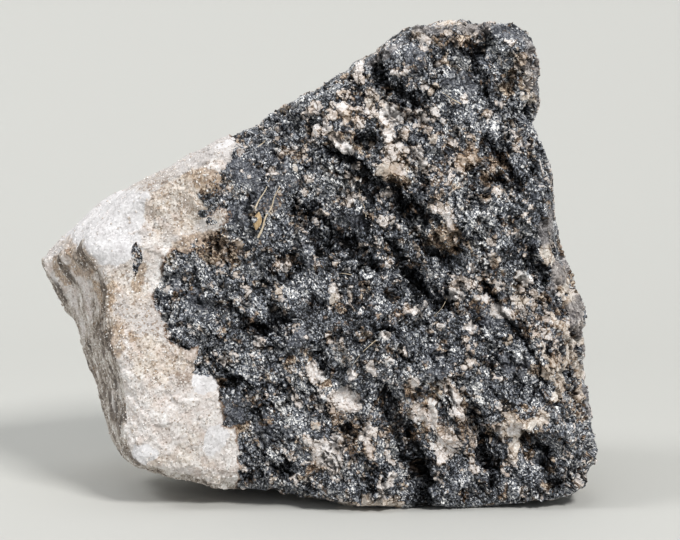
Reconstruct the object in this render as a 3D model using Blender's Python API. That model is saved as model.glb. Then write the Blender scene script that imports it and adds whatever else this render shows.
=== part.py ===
"""A hand-sized rough of dark antigorite with a pale matrix grown along its left end.

The stone is one natural piece, so it is one solid. It is laid out in a face frame, as someone who holds it
and looks straight at its broken front would measure it, in millimetres:
    u  to the right along the face
    v  up the face, 0 at its lower edge
    w  out of the face, towards the viewer
The face leans back by LEAN when the stone rests, and the script turns it so, with z = 0 the surface below it.

The rough form is a prism on the outline of the face, widest some way behind it, which broken planes trim at
the back and below. Relief is then raised on it: broad waves, the flat breaks of a hackly fracture, the ledges
of the foliation, which lies parallel to the face, and the named hollows and swells of the front.
"""

import math

import bmesh
import bpy
from mathutils import Matrix, Vector, noise

MM = 0.001

# How it rests and how it was measured
LEAN = math.radians(8)
SIGHT_DISTANCE = 500.0
SIGHT_CENTRE = (4.6, 53.7)

# The outline that is seen from the front, clockwise from the left tip
SEEN_OUTLINE = [
    (-60.5, 55.5), (-60, 57.5), (-56, 60), (-52.5, 64.5), (-46.5, 69.5), (-41.5, 72.5), (-34, 75.5),
    (-26, 80), (-15, 85.5), (-3, 91.5), (5.5, 98), (13.5, 103), (18, 106.5), (21.5, 108), (25, 108),
    (27.5, 109), (30.5, 109), (36, 107), (39.5, 108.5), (44, 107), (47.5, 105.5), (49, 103), (49.5, 99),
    (50, 94.5), (49.5, 90), (47.5, 88), (47.5, 85), (49.5, 78.5), (51, 74.5), (51, 68), (53, 62),
    (55.5, 52), (58, 46), (59, 37), (59, 27.5), (60.5, 18), (60.5, 12.5), (58.5, 6), (55, 4), (53, 2),
    (43, 1.5), (33, 0.5), (25, 0.5), (15, 1), (9, 1), (0, 3), (-10.5, 5.5), (-23, 6), (-32.5, 8.5),
    (-41.5, 10.5), (-44, 14), (-46, 19), (-47.5, 25.5), (-49.5, 32), (-51.5, 37), (-55, 46), (-58, 52),
]

# The prism behind the outline
FACE_CROWN = 1.5
BRINK_DEPTH = 2.5
TIP_DEPTH = 10.0
BRINK_INSET = 1.8
RIGHT_INSET = 6.0
GIRDLE_DEPTH = 7.0
LEFT_GIRDLE = 26.0
RIGHT_GIRDLE = 7.0
PRISM_DEPTH = 78.0
PRISM_TAPER = 0.95

# The ridge that parts the face from the left side, from the tip down
LEFT_RIDGE = [
    (-56.0, 59.2), (-50.5, 55.0), (-47.0, 48.5), (-45.4, 42.5), (-44.6, 36.0), (-44.0, 29.5),
    (-43.7, 23.0), (-43.0, 17.5), (-40.5, 12.0),
]

# Broken planes that trim the prism: a point on each in the face frame, and the way it faces
BROKEN_PLANES = {
    "back": ((0, 30, -59), (-0.05, 0.10, -0.99)),
    "slab_back": ((28, 52, -55), (0.30, 0.34, -0.89)),
    "upper_back": ((22, 92, -33), (0.10, 0.66, -0.74)),
    "top_left_back": ((-20, 76, -42), (-0.30, 0.66, -0.69)),
    "left_back": ((-62, 45, -37), (-0.66, 0.10, -0.74)),
    "right_back": ((57, 40, -33), (0.70, -0.08, -0.71)),
    "low_left_back": ((-40, 14, -34), (-0.50, -0.44, -0.75)),
}

# Planes of the underside: a point and the way it faces, with x, y and z as the stone rests
UNDER_PLANES = {
    "rest": ((0, 0, 0), (0, 0, -1)),
    "under_left": ((-9, 0, 0), (-0.26, -0.05, -0.96)),
    "under_right": ((50, 0, 0), (0.28, 0.05, -0.96)),
    "under_back": ((0, 38, 0), (0.05, 0.40, -0.92)),
}

# Where the pale matrix ends on the face, from its top edge down
MATRIX_EDGE = [
    (-18.5, 83), (-21, 75), (-20, 70), (-22, 62), (-27, 58), (-33, 55), (-35, 49), (-34.5, 42),
    (-31, 38), (-27.5, 33), (-25, 29.5), (-21.5, 28), (-20.5, 22), (-18, 18), (-17.5, 10), (-17, 4),
]
MATRIX_SLANT = 0.16
MATRIX_WANDER = 2.0

# Hollows of the front: centre u, v, half length, half width, turn in degrees, depth
HOLLOWS = {
    "valley": (14.5, 60.0, 31.0, 12.0, -36, 3.2),
    "upper_cleft": (13.8, 96.0, 8.0, 2.7, -58, 3.4),
    "top_notch": (37.6, 101.0, 5.4, 2.3, -52, 3.0),
    "eye": (10.3, 81.0, 3.6, 2.4, -62, 3.8),
    "mid_cleft": (23.0, 65.0, 5.0, 2.4, -50, 3.8),
    "shade_left": (4.6, 61.5, 6.5, 4.2, -42, 3.0),
    "shade_right": (27.0, 56.5, 6.0, 3.6, -40, 2.8),
    "deep_shade": (22.0, 50.0, 7.0, 4.2, -44, 4.8),
    "right_dip": (36.5, 76.5, 8.5, 4.0, 46, 2.2),
    "left_pit": (-17.5, 43.5, 3.0, 2.2, -30, 2.6),
    "left_pit_2": (-8.6, 43.5, 3.2, 2.3, 0, 2.8),
    "low_cleft": (21.0, 12.0, 9.0, 3.4, -76, 3.6),
    "low_cleft_2": (37.5, 12.5, 8.0, 2.9, -80, 3.4),
    "low_right": (50.0, 12.0, 6.5, 4.4, -32, 3.4),
    "low_mid": (4.6, 19.5, 4.2, 2.8, -20, 2.4),
    "low_left": (-8.8, 9.5, 4.6, 2.8, -20, 2.2),
    "edge_crack": (51.5, 46.5, 7.5, 1.9, -64, 2.2),
    "inner_crack": (38.5, 43.0, 7.0, 2.0, -50, 1.8),
}

# How round a hollow's floor is, and how far its deepest place lies off its middle
BOWL_ROUNDNESS = 1.3
BOWL_LEAN = 0.45
BOWL_WANDER = 1.3

# Swells of the front: centre u, v, half length, half width, turn in degrees, height
SWELLS = {
    "top_swell": (26.0, 94.0, 9.0, 7.0, -50, 1.8),
    "top_knob": (44.5, 99.0, 5.0, 5.5, 0, 1.8),
    "shoulder": (33.5, 66.0, 9.0, 6.5, -48, 2.2),
    "eye_rim": (18.0, 82.0, 6.0, 4.0, -60, 1.6),
    "plate": (-14.0, 59.0, 11.0, 10.0, 60, 1.4),
    "low_shelf": (4.0, 38.0, 17.0, 6.5, 4, 2.2),
    "right_shelf": (35.0, 33.0, 11.0, 7.5, -20, 2.2),
    "low_rib": (29.5, 20.0, 8.0, 3.2, -84, 1.8),
    "right_rib": (45.0, 19.0, 6.0, 3.0, -80, 1.6),
    "corner_knob": (55.0, 21.0, 5.0, 6.0, 0, 1.4),
    "pale_swell": (-31.0, 22.0, 10.0, 12.0, 0, 1.6),
    "pale_brow": (-38.0, 57.0, 9.0, 7.0, 35, 1.2),
}

# Relief all over: wave length and height
WAVES = ((30.0, 2.2), (14.0, 1.2))

# Hackly breaks: size of a flat, height of its step, slope of its tilt
BREAKS = ((11.0, 1.1, 0.26), (5.6, 0.55, 0.24))
BREAK_JOIN = 0.22
BREAK_TURN = math.radians(-56)
BREAK_STRETCH = (1.5, 1.0, 0.7)
MATRIX_CALM = 0.4
BREAK_LIMIT = 2.0

# Ledges of the foliation on the sides
LEDGE_STEP = 7.0
LEDGE_HEIGHT = 1.3
LEDGE_WANDER = 3.0
LEDGE_TREAD = 0.78

# A surface counts as front or back when its normal is this much along w, and as side below it
FACING_START = 0.35
FACING_BLEND = 0.4

# The relief fades where the underside comes down to the surface below
UNDER_CALM = 0.75
UNDER_REACH = (3.0, 9.0)

# The sides keep to the seen outline as far back as this: relief there cuts in and hardly stands out
RIM_CUT = 0.3
RIM_RISE = 0.8
RIM_REACH = (28.0, 46.0)

# Mesh
ROUGH_SIZE = 1.4
REMESH_SIZE = 1.1
FLAT_BAND = 0.5
FACE_COUNT = 9600

DARK = (0.055, 0.058, 0.066, 1.0)
PALE = (0.62, 0.55, 0.49, 1.0)


def smooth(t):
    """A step from 0 to 1 that starts and ends gently."""
    t = min(1.0, max(0.0, t))
    return t * t * (3 - 2 * t)


def face_to_rest():
    """The turn from the face frame to the resting stone: u stays x, and the face leans back."""
    sin, cos = math.sin(LEAN), math.cos(LEAN)
    columns = ((1, 0, 0), (0, sin, cos), (0, -cos, sin))
    return Matrix([[column[row] for column in columns] for row in range(3)])


def girdle_point(u, v):
    """A point of the seen outline put at its own depth. Lying further back, it is really further out."""
    left = smooth((-u - 18) / 26)
    right = smooth((u - 38) / 14) * smooth((v - 4) / 12) * smooth((92 - v) / 16)
    low = smooth((v - 6) / 14)
    depth = GIRDLE_DEPTH + LEFT_GIRDLE * left * low + RIGHT_GIRDLE * right
    spread = (SIGHT_DISTANCE + depth) / SIGHT_DISTANCE
    middle_u, middle_v = SIGHT_CENTRE
    return Vector((middle_u + (u - middle_u) * spread, middle_v + (v - middle_v) * spread, -depth))


def u_along(points, v):
    """Where a line that runs down through the given points is at a height."""
    if v >= points[0][1]:
        return points[0][0]
    for (u_high, v_high), (u_low, v_low) in zip(points, points[1:]):
        if v >= v_low:
            return u_low + (u_high - u_low) * (v - v_low) / (v_high - v_low)
    return points[-1][0]


def brink_point(u, v, inward):
    """The edge of the broken face beside a point of the outline."""
    ridge_top, ridge_foot = LEFT_RIDGE[0], LEFT_RIDGE[-1]
    right = smooth((u - 50) / 4) * smooth((v - 16) / 12) * smooth((72 - v) / 14) * (RIGHT_INSET - BRINK_INSET)
    place = Vector((u, v, 0)) + inward * (BRINK_INSET + right)
    if u < ridge_foot[0] and ridge_foot[1] <= v < ridge_top[1]:
        place = Vector((u_along(LEFT_RIDGE, v), v, 0))
    to_tip = smooth((v - 34) / 18) * smooth((-u - 30) / 22)
    depth = BRINK_DEPTH + (TIP_DEPTH - BRINK_DEPTH) * to_tip
    return Vector((place.x, place.y, -depth))


def inward_ways():
    """For each point of the outline, the way into the face, square to its neighbours."""
    count = len(SEEN_OUTLINE)
    ways = []
    for i in range(count):
        before, after = SEEN_OUTLINE[i - 2], SEEN_OUTLINE[(i + 2) % count]
        along = Vector((after[0] - before[0], after[1] - before[1], 0))
        ways.append(Vector((along.y, -along.x, 0)).normalized())
    return ways


def prism_rings():
    """The rings of points from the brink of the face to the far end of the prism."""
    brink = [brink_point(u, v, way) for (u, v), way in zip(SEEN_OUTLINE, inward_ways())]
    girdle = [girdle_point(u, v) for u, v in SEEN_OUTLINE]
    middle = Vector((*SIGHT_CENTRE, 0))
    end = []
    for point in girdle:
        drawn_in = middle + (point - middle) * PRISM_TAPER
        end.append(Vector((drawn_in.x, drawn_in.y, -PRISM_DEPTH)))
    return [brink, girdle, end]


def cut_off(bm, place, facing):
    """Trims everything beyond a plane and closes the cut."""
    geometry = bm.verts[:] + bm.edges[:] + bm.faces[:]
    done = bmesh.ops.bisect_plane(bm, geom=geometry, plane_co=place, plane_no=facing, clear_outer=True)
    rim = [piece for piece in done["geom_cut"] if isinstance(piece, bmesh.types.BMEdge)]
    bmesh.ops.holes_fill(bm, edges=rim)


def rough_form():
    """The trimmed prism, turned to rest, as a mesh in millimetres."""
    bm = bmesh.new()
    rings = [[bm.verts.new(point) for point in ring] for ring in prism_rings()]
    for outer, inner in zip(rings, rings[1:]):
        for i in range(len(outer)):
            j = (i + 1) % len(outer)
            bm.faces.new((outer[i], outer[j], inner[j], inner[i]))
    crown = bm.verts.new((*SIGHT_CENTRE, FACE_CROWN))
    for i, vertex in enumerate(rings[0]):
        bm.faces.new((vertex, crown, rings[0][(i + 1) % len(rings[0])]))
    bm.faces.new(rings[-1])
    for place, facing in BROKEN_PLANES.values():
        cut_off(bm, Vector(place), Vector(facing))
    bm.transform(face_to_rest().to_4x4())
    for place, facing in UNDER_PLANES.values():
        cut_off(bm, Vector(place), Vector(facing))
    bmesh.ops.triangulate(bm, faces=bm.faces[:])
    bmesh.ops.recalc_face_normals(bm, faces=bm.faces[:])
    mesh = bpy.data.meshes.new("rough_form")
    bm.to_mesh(mesh)
    bm.free()
    return mesh


def evaluated(mesh, kind, **settings):
    """A copy of the mesh with one modifier applied."""
    holder = bpy.data.objects.new("holder", mesh)
    bpy.context.scene.collection.objects.link(holder)
    modifier = holder.modifiers.new(kind.lower(), kind)
    for name, value in settings.items():
        setattr(modifier, name, value)
    graph = bpy.context.evaluated_depsgraph_get()
    result = bpy.data.meshes.new_from_object(holder.evaluated_get(graph))
    bpy.data.objects.remove(holder)
    return result


def matrix_share(place):
    """1 in the pale matrix and 0 in the dark stone, for a point of the face frame."""
    wander = MATRIX_WANDER * noise.noise(place / 9.0)
    edge = u_along(MATRIX_EDGE, place.y) + MATRIX_SLANT * place.z + wander
    return smooth((edge - place.x) / 1.5 + 0.5)


def bowl(u, v, form):
    """How deep a point lies in a named hollow or swell: 1 at its middle and 0 outside it."""
    middle_u, middle_v, half_length, half_width, turn, _ = form
    angle = math.radians(turn)
    along = (u - middle_u) * math.cos(angle) + (v - middle_v) * math.sin(angle)
    across = (v - middle_v) * math.cos(angle) - (u - middle_u) * math.sin(angle)
    reach = (along / half_length) ** 2 + (across / half_width) ** 2
    if reach >= 1:
        return 0.0
    return (1 - reach) ** BOWL_ROUNDNESS * (1 + BOWL_LEAN * across / half_width)


def front_relief(place):
    """The hollows and swells of the face, with outlines that wander as broken stone does."""
    wander_u = BOWL_WANDER * noise.noise(place / 5.0)
    wander_v = BOWL_WANDER * noise.noise(place / 5.0 + Vector((17, 5, 3)))
    u, v = place.x + wander_u, place.y + wander_v
    raised = sum(form[5] * bowl(u, v, form) for form in SWELLS.values())
    sunk = sum(form[5] * bowl(u, v, form) for form in HOLLOWS.values())
    return raised - sunk


def grain_place(place):
    """A point of the face frame turned and drawn together along the grain of the stone."""
    cos, sin = math.cos(BREAK_TURN), math.sin(BREAK_TURN)
    along = place.x * cos + place.y * sin
    across = place.y * cos - place.x * sin
    return Vector((along / BREAK_STRETCH[0], across / BREAK_STRETCH[1], place.z / BREAK_STRETCH[2]))


def break_height(place, size, step, tilt):
    """Flat breaks, each at its own height and tilt, that meet in short steps."""
    here = grain_place(place) / size
    distances, middles = noise.voronoi(here)
    heights = []
    for middle in middles[:2]:
        chance = noise.cell_vector(middle * 31.0) * 2 - Vector((1, 1, 1))
        heights.append(step * chance.z + tilt * size * (here - middle).dot(chance))
    nearest = smooth(0.5 + (distances[1] - distances[0]) / (2 * BREAK_JOIN))
    return heights[0] * nearest + heights[1] * (1 - nearest)


def overall_relief(place):
    """Broad waves and the hackly breaks on them."""
    waves = sum(size * noise.noise(place / length) for length, size in WAVES)
    calm = 1 - MATRIX_CALM * matrix_share(place)
    breaks = sum(break_height(place, *kind) for kind in BREAKS)
    return waves + calm * max(-BREAK_LIMIT, min(BREAK_LIMIT, breaks))


def ledge_relief(place):
    """Steps where the sheets of the foliation end on the sides."""
    wander = LEDGE_WANDER * noise.noise(Vector((place.x / 21, place.y / 21, place.z / 12)))
    sheet = (place.z + wander) / LEDGE_STEP
    through = sheet - math.floor(sheet)
    rise = through / LEDGE_TREAD if through < LEDGE_TREAD else (1 - through) / (1 - LEDGE_TREAD)
    return LEDGE_HEIGHT * (rise - 0.5)


def raise_relief(mesh):
    """Moves the vertices out or in by the relief, each along its own normal."""
    to_rest = face_to_rest()
    to_face = to_rest.transposed()
    face_way = to_rest @ Vector((0, 0, 1))
    shifts = []
    for vertex in mesh.vertices:
        place = to_face @ vertex.co
        normal = vertex.normal.copy()
        facing = normal.dot(face_way)
        frontness = smooth((facing - FACING_START) / FACING_BLEND)
        sideness = 1 - smooth((abs(facing) - FACING_START) / FACING_BLEND)
        height = overall_relief(place) + sideness * ledge_relief(place)
        near, far = RIM_REACH
        at_rim = sideness * smooth((far + place.z) / (far - near))
        height += (min(height - RIM_CUT, RIM_RISE) - height) * at_rim
        low, high = UNDER_REACH
        under = smooth(-2 * normal.z - 0.5) * smooth((high - vertex.co.z) / (high - low))
        height *= 1 - UNDER_CALM * under
        shifts.append(normal * height + face_way * (frontness * front_relief(place)))
    for vertex, shift in zip(mesh.vertices, shifts):
        vertex.co += shift


def flatten_rest(mesh):
    """Presses what is nearly at the surface below the stone flat onto it."""
    for vertex in mesh.vertices:
        if vertex.co.z < FLAT_BAND:
            vertex.co.z = 0.0


def centre(mesh):
    """Puts the middle of the stone's box over the origin, and prints where the face frame's origin went."""
    low = [min(vertex.co[axis] for vertex in mesh.vertices) for axis in range(3)]
    high = [max(vertex.co[axis] for vertex in mesh.vertices) for axis in range(3)]
    shift = Vector((-(low[0] + high[0]) / 2, -(low[1] + high[1]) / 2, -low[2]))
    mesh.transform(Matrix.Translation(shift))
    print("face frame origin, mm:", [round(value, 3) for value in shift])
    print("size, mm:", [round(high[axis] - low[axis], 2) for axis in range(3)])
    return shift


def paint(mesh, shift):
    """Gives each face the dark stone or the pale matrix."""
    for name, colour, roughness in (("dark_antigorite", DARK, 0.45), ("pale_matrix", PALE, 0.7)):
        material = bpy.data.materials.new(name)
        material.use_nodes = True
        shader = material.node_tree.nodes["Principled BSDF"]
        shader.inputs["Base Color"].default_value = colour
        shader.inputs["Roughness"].default_value = roughness
        shader.inputs["Metallic"].default_value = 0.0
        mesh.materials.append(material)
    to_face = face_to_rest().transposed()
    for face in mesh.polygons:
        face.material_index = round(matrix_share(to_face @ (face.center - shift)))


def make_stone():
    """The whole stone as one object in metres."""
    mesh = evaluated(rough_form(), "REMESH", mode="VOXEL", voxel_size=ROUGH_SIZE)
    raise_relief(mesh)
    mesh = evaluated(mesh, "REMESH", mode="VOXEL", voxel_size=REMESH_SIZE)
    flatten_rest(mesh)
    mesh = evaluated(mesh, "TRIANGULATE")
    mesh = evaluated(mesh, "DECIMATE", ratio=FACE_COUNT / len(mesh.polygons))
    flatten_rest(mesh)
    shift = centre(mesh)
    mesh.materials.clear()
    paint(mesh, shift)
    mesh.transform(Matrix.Scale(MM, 4))
    mesh.name = "stone"
    mesh.shade_flat()
    stone = bpy.data.objects.new("stone", mesh)
    bpy.context.scene.collection.objects.link(stone)
    print("faces:", len(mesh.polygons))
    return stone


def main():
    for thing in list(bpy.data.objects):
        bpy.data.objects.remove(thing)
    make_stone()


main()
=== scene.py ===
# %% [markdown]
# # A rough of dark antigorite
#
# The specimen is one broken stone, as wide as a hand: a dark, hackly, glinting rock with a pale
# granular matrix grown along its left end. This script dresses the plain faceted solid of the stone.
# It builds the fine surface, grows the blades and grains that make the dark part sparkle and the pale
# part look sugary, colours them all, lays a few bits of straw on the front, and sets up a plain studio
# with the camera straight in front of the broken face.

# %% The frame
import math
from types import SimpleNamespace

import bmesh
import bpy
import numpy as np
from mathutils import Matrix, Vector, noise
from mathutils.bvhtree import BVHTree


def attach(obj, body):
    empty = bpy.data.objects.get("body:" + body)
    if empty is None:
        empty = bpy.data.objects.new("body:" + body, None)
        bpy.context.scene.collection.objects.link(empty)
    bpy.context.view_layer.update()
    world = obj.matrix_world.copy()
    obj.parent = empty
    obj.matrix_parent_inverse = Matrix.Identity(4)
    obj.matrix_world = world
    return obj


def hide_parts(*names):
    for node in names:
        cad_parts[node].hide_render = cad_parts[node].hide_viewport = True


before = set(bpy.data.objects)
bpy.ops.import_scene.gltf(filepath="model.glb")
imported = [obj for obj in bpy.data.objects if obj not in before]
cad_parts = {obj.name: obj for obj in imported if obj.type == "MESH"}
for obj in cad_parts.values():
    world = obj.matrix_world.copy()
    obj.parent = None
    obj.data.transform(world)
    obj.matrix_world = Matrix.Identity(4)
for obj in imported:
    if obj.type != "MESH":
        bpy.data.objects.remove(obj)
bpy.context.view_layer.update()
MM = 0.001

# %% [markdown]
# ## The face frame
#
# The broken front leans back by eight degrees, and everything that was read from the photograph was
# read on that face. So places are kept in a frame of the face: u to the right, v up the face, w out of
# it, in millimetres. The camera looks straight at the face, which makes a pixel of the picture the same
# size all over it.

# %% Face frame and picture
LEAN = math.radians(8)
FACE_ORIGIN = np.array((0.684, -32.697, 0.0))
AXIS_U = np.array((1.0, 0.0, 0.0))
AXIS_V = np.array((0.0, math.sin(LEAN), math.cos(LEAN)))
AXIS_W = np.array((0.0, -math.cos(LEAN), math.sin(LEAN)))
SIGHT_DISTANCE = 500.0
PIXEL = 0.22
PICTURE = (680, 540)
FACE_PIXEL = (319, 514)
SIGHT_U = (PICTURE[0] / 2 - FACE_PIXEL[0]) * PIXEL
SIGHT_V = (FACE_PIXEL[1] - PICTURE[1] / 2) * PIXEL


def from_face(u, v, w):
    """A point of the face frame, in metres in the stone's own frame."""
    return (FACE_ORIGIN + u * AXIS_U + v * AXIS_V + w * AXIS_W) * MM


def to_face(points):
    """Points in metres as u, v and w in millimetres."""
    moved = np.asarray(points) / MM - FACE_ORIGIN
    return moved @ AXIS_U, moved @ AXIS_V, moved @ AXIS_W


def in_picture(points):
    """The column and row of the picture where each point is seen."""
    u, v, w = to_face(points)
    nearness = SIGHT_DISTANCE / (SIGHT_DISTANCE - w)
    column = PICTURE[0] / 2 + (u - SIGHT_U) * nearness / PIXEL
    row = PICTURE[1] / 2 - (v - SIGHT_V) * nearness / PIXEL
    return column, row


print("the camera looks at u, v =", round(SIGHT_U, 1), round(SIGHT_V, 1))

# %% [markdown]
# ## Nodes as sums
#
# Both the shapes and the finishes need a lot of node maths. A small class wraps a socket, so that
# an ordinary Python expression adds the Math nodes, and one method makes any other node.

# %% Node kit
class Wire:
    """An output socket that can be used in sums."""

    def __init__(self, kit, socket):
        self.kit = kit
        self.socket = socket

    def out(self, name):
        """Another output of the same node."""
        return Wire(self.kit, self.socket.node.outputs[name])

    def __add__(self, other):
        return self.kit.maths("ADD", self, other)

    def __sub__(self, other):
        return self.kit.maths("SUBTRACT", self, other)

    def __rsub__(self, other):
        return self.kit.maths("SUBTRACT", other, self)

    def __mul__(self, other):
        return self.kit.maths("MULTIPLY", self, other)

    def __truediv__(self, other):
        return self.kit.maths("DIVIDE", self, other)

    def __rtruediv__(self, other):
        return self.kit.maths("DIVIDE", other, self)

    __radd__ = __add__
    __rmul__ = __mul__


class Kit:
    """Adds nodes to one tree."""

    def __init__(self, tree):
        self.tree = tree

    def node(self, kind, settings=None, sockets=None, out=0):
        """Any node: its settings first, then the values or links of its sockets."""
        node = self.tree.nodes.new(kind)
        for name, value in (settings or {}).items():
            if name == "stops":
                set_stops(node.color_ramp, value)
            else:
                setattr(node, name, value)
        for key, value in (sockets or {}).items():
            if isinstance(value, Wire):
                self.tree.links.new(value.socket, node.inputs[key])
            else:
                node.inputs[key].default_value = value
        return Wire(self, node.outputs[out]) if node.outputs else None

    def maths(self, operation, *values):
        return self.node("ShaderNodeMath", {"operation": operation}, dict(enumerate(values)))

    def vector(self, operation, *values, out=0):
        sockets = dict(enumerate(values))
        return self.node("ShaderNodeVectorMath", {"operation": operation}, sockets, out)

    def scaled(self, vector, factor):
        return self.node("ShaderNodeVectorMath", {"operation": "SCALE"}, {0: vector, "Scale": factor})

    def off_middle(self, vector):
        """A colour as a vector around zero."""
        return self.vector("SUBTRACT", vector, (0.5, 0.5, 0.5))

    def joined(self, x, y, z):
        return self.node("ShaderNodeCombineXYZ", None, {0: x, 1: y, 2: z})

    def parts(self, vector):
        """The three numbers of a vector."""
        x = self.node("ShaderNodeSeparateXYZ", None, {0: vector})
        return x, x.out("Y"), x.out("Z")

    def step(self, value, low, high):
        """0 at low, 1 at high, and a smooth change between them."""
        sockets = {"Value": value, "From Min": low, "From Max": high}
        return self.node("ShaderNodeMapRange", {"interpolation_type": "SMOOTHSTEP"}, sockets)

    def noise(self, place, size, detail=2.0, roughness=0.5):
        """Clouds whose lumps are about this many millimetres across."""
        sockets = {"Vector": place, "Scale": 1 / size, "Detail": detail, "Roughness": roughness}
        return self.node("ShaderNodeTexNoise", None, sockets)

    def clouds(self, place, size, detail=2.0, roughness=0.5):
        """The same noise around zero."""
        return self.noise(place, size, detail, roughness) - 0.5

    def cells(self, place, size):
        """A packing of grains about this many millimetres across."""
        return self.node("ShaderNodeTexVoronoi", None, {"Vector": place, "Scale": 1 / size}, "Color")

    def borders(self, place, size, wide, narrow):
        """1 on the borders of the same packing, 0 inside. Both widths are shares of a grain."""
        settings, sockets = {"feature": "DISTANCE_TO_EDGE"}, {"Vector": place, "Scale": 1 / size}
        away = self.node("ShaderNodeTexVoronoi", settings, sockets, "Distance")
        return self.step(away, wide, narrow)


def set_stops(ramp, stops):
    """Fills a colour ramp from (place, colour) pairs."""
    while len(ramp.elements) < len(stops):
        ramp.elements.new(1.0)
    for element, (place, colour) in zip(ramp.elements, stops):
        element.position = place
        element.color = (*colour, 1.0)


# %% [markdown]
# ## What the front shows, and where
#
# The pale matrix ends along a winding edge, hollows sink between the blades and are darkened with
# painted shade, and pale grains gather in clusters and veins. These lists were read from the photograph.
# Each entry is a place in the picture, in pixels, with a size. They mark regions only, such as where
# cream grains are many or where the colour is made a little paler or darker, partly for the rock's tone
# and partly as painted light and shade: the grains themselves come from noise. A cluster is a plain
# oval.
# The other marks have a turn too, and bands and veins run through a few places.

# %% Marks of the front
MATRIX_EDGE = [
    (236, 118), (234, 131), (243, 146), (226, 162), (228, 172), (205, 185), (202, 196), (212, 210),
    (227, 209), (228, 224), (210, 237), (195, 250), (174, 250), (167, 257), (167, 276), (158, 292),
    (160, 308), (168, 322), (168, 336), (180, 348), (188, 350), (197, 347), (195, 360), (192, 372),
    (209, 375), (218, 384), (219, 400), (225, 406), (223, 426), (236, 428), (239, 437), (239, 454),
    (241, 470), (242, 487), (244, 560),
]
# Hollows, which sink in the relief and which the finish darkens with painted shade
# Column, row, half length, half width, turn in degrees
SUNKEN_SHADED_HOLLOWS = [
    (380, 64, 19, 7, -72), (402, 94, 17, 7, -38), (368, 143, 13, 10, -62), (426, 216, 18, 9, -47),
    (478, 56, 17, 6, -85), (485, 88, 12, 5, -70), (334, 240, 27, 9, -14), (347, 246, 13, 8, -30),
    (424, 286, 26, 11, -36), (394, 294, 10, 7, 0), (240, 317, 13, 8, -25), (286, 319, 10, 9, 0),
    (507, 143, 9, 7, 0), (495, 180, 11, 6, 0), (458, 247, 10, 6, -30), (429, 337, 8, 4, -80),
    (388, 326, 11, 4, -10), (343, 425, 9, 7, 0), (401, 415, 11, 6, -75), (413, 452, 40, 9, -64),
    (490, 465, 15, 9, -80), (530, 442, 10, 7, 0), (551, 466, 8, 7, 0), (258, 411, 9, 6, 0),
    (279, 469, 9, 7, 0), (232, 384, 13, 6, 15), (246, 391, 7, 4, 0), (544, 271, 9, 5, -80),
    (560, 305, 12, 5, -80), (550, 349, 9, 4, 90), (345, 165, 14, 7, -50), (574, 336, 10, 3, -70),
    (368, 190, 16, 6, -55), (396, 250, 15, 7, -45), (440, 262, 14, 6, -50), (325, 152, 12, 6, -40),
]
# Bands that sink the same way and get the same painted shade
# Half width, and the places that the band runs through
SUNKEN_SHADED_BANDS = [
    (8, [(375, 50), (381, 72), (391, 86), (415, 103)]),
    (8, [(322, 205), (335, 236), (352, 248), (372, 262)]),
    (14, [(392, 192), (412, 218), (428, 238), (442, 256)]),
    (12, [(402, 270), (424, 288), (442, 298)]),
    (7, [(350, 158), (368, 176), (384, 190), (396, 200)]),
    (5, [(468, 42), (479, 66), (487, 94)]),
    (8, [(488, 138), (502, 158), (518, 186)]),
    (13, [(390, 400), (404, 432), (416, 462), (424, 500)]),
    (9, [(468, 404), (480, 440), (492, 480)]),
    (7, [(526, 430), (544, 458), (556, 486)]),
    (5, [(324, 140), (346, 166), (370, 198)]),
    (4, [(482, 282), (500, 308), (516, 334)]),
    (2, [(520, 330), (534, 356), (546, 384)]),
    (4, [(532, 254), (544, 282)]),
    (6, [(296, 205), (312, 228), (322, 250)]),
    (6, [(226, 306), (244, 322), (262, 330)]),
]
# Column, row, width, height
PALE_CLUSTERS = [
    (327, 453, 30, 28), (309, 438, 14, 14), (344, 400, 29, 26), (313, 373, 24, 16), (350, 374, 10, 8),
    (434, 415, 16, 18), (418, 413, 12, 20), (459, 405, 16, 32), (448, 442, 18, 30), (440, 455, 12, 12),
    (415, 385, 12, 12), (518, 452, 8, 16), (472, 470, 12, 16), (525, 492, 12, 10), (454, 378, 12, 14),
    (500, 380, 14, 8), (373, 371, 9, 12), (382, 493, 10, 27), (266, 472, 10, 14), (368, 441, 9, 18),
    (367, 421, 8, 14), (374, 458, 14, 9), (501, 311, 24, 16), (385, 277, 14, 11), (370, 284, 14, 11),
    (394, 287, 8, 11), (454, 294, 18, 18), (387, 262, 12, 9), (381, 245, 9, 12), (387, 335, 10, 11),
    (465, 343, 9, 8), (372, 365, 9, 12), (424, 362, 12, 9), (464, 362, 12, 9), (417, 313, 14, 8),
    (447, 317, 9, 7), (346, 147, 22, 14), (391, 154, 17, 16), (417, 147, 20, 12), (425, 162, 16, 14),
    (446, 222, 14, 22), (348, 199, 12, 16), (421, 231, 12, 9), (384, 194, 12, 10), (378, 241, 8, 16),
    (433, 212, 10, 10), (391, 110, 22, 24), (357, 68, 11, 16), (360, 82, 11, 12), (399, 73, 13, 7),
    (434, 113, 11, 11), (359, 124, 13, 15), (388, 134, 16, 22), (462, 98, 20, 8), (426, 86, 8, 7),
    (490, 115, 11, 12), (282, 149, 14, 10), (293, 152, 10, 10), (307, 178, 11, 11), (283, 267, 16, 10),
    (334, 291, 11, 14), (367, 285, 8, 8), (468, 330, 10, 7), (405, 441, 8, 8), (497, 430, 10, 12),
    (316, 108, 12, 16), (322, 128, 16, 12), (341, 122, 12, 10), (372, 112, 16, 10), (408, 126, 14, 12),
    (352, 178, 14, 8), (470, 285, 16, 10), (480, 298, 16, 8), (333, 262, 10, 8), (300, 204, 8, 12),
    (330, 145, 14, 10), (352, 168, 16, 8), (385, 172, 12, 12), (307, 192, 9, 9), (325, 210, 13, 9),
    (320, 221, 8, 7), (352, 230, 9, 7), (341, 240, 9, 7), (360, 248, 14, 7), (347, 270, 10, 7),
    (388, 360, 9, 8), (356, 332, 10, 7), (438, 322, 12, 7), (404, 352, 8, 8), (300, 400, 9, 8),
]
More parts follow.
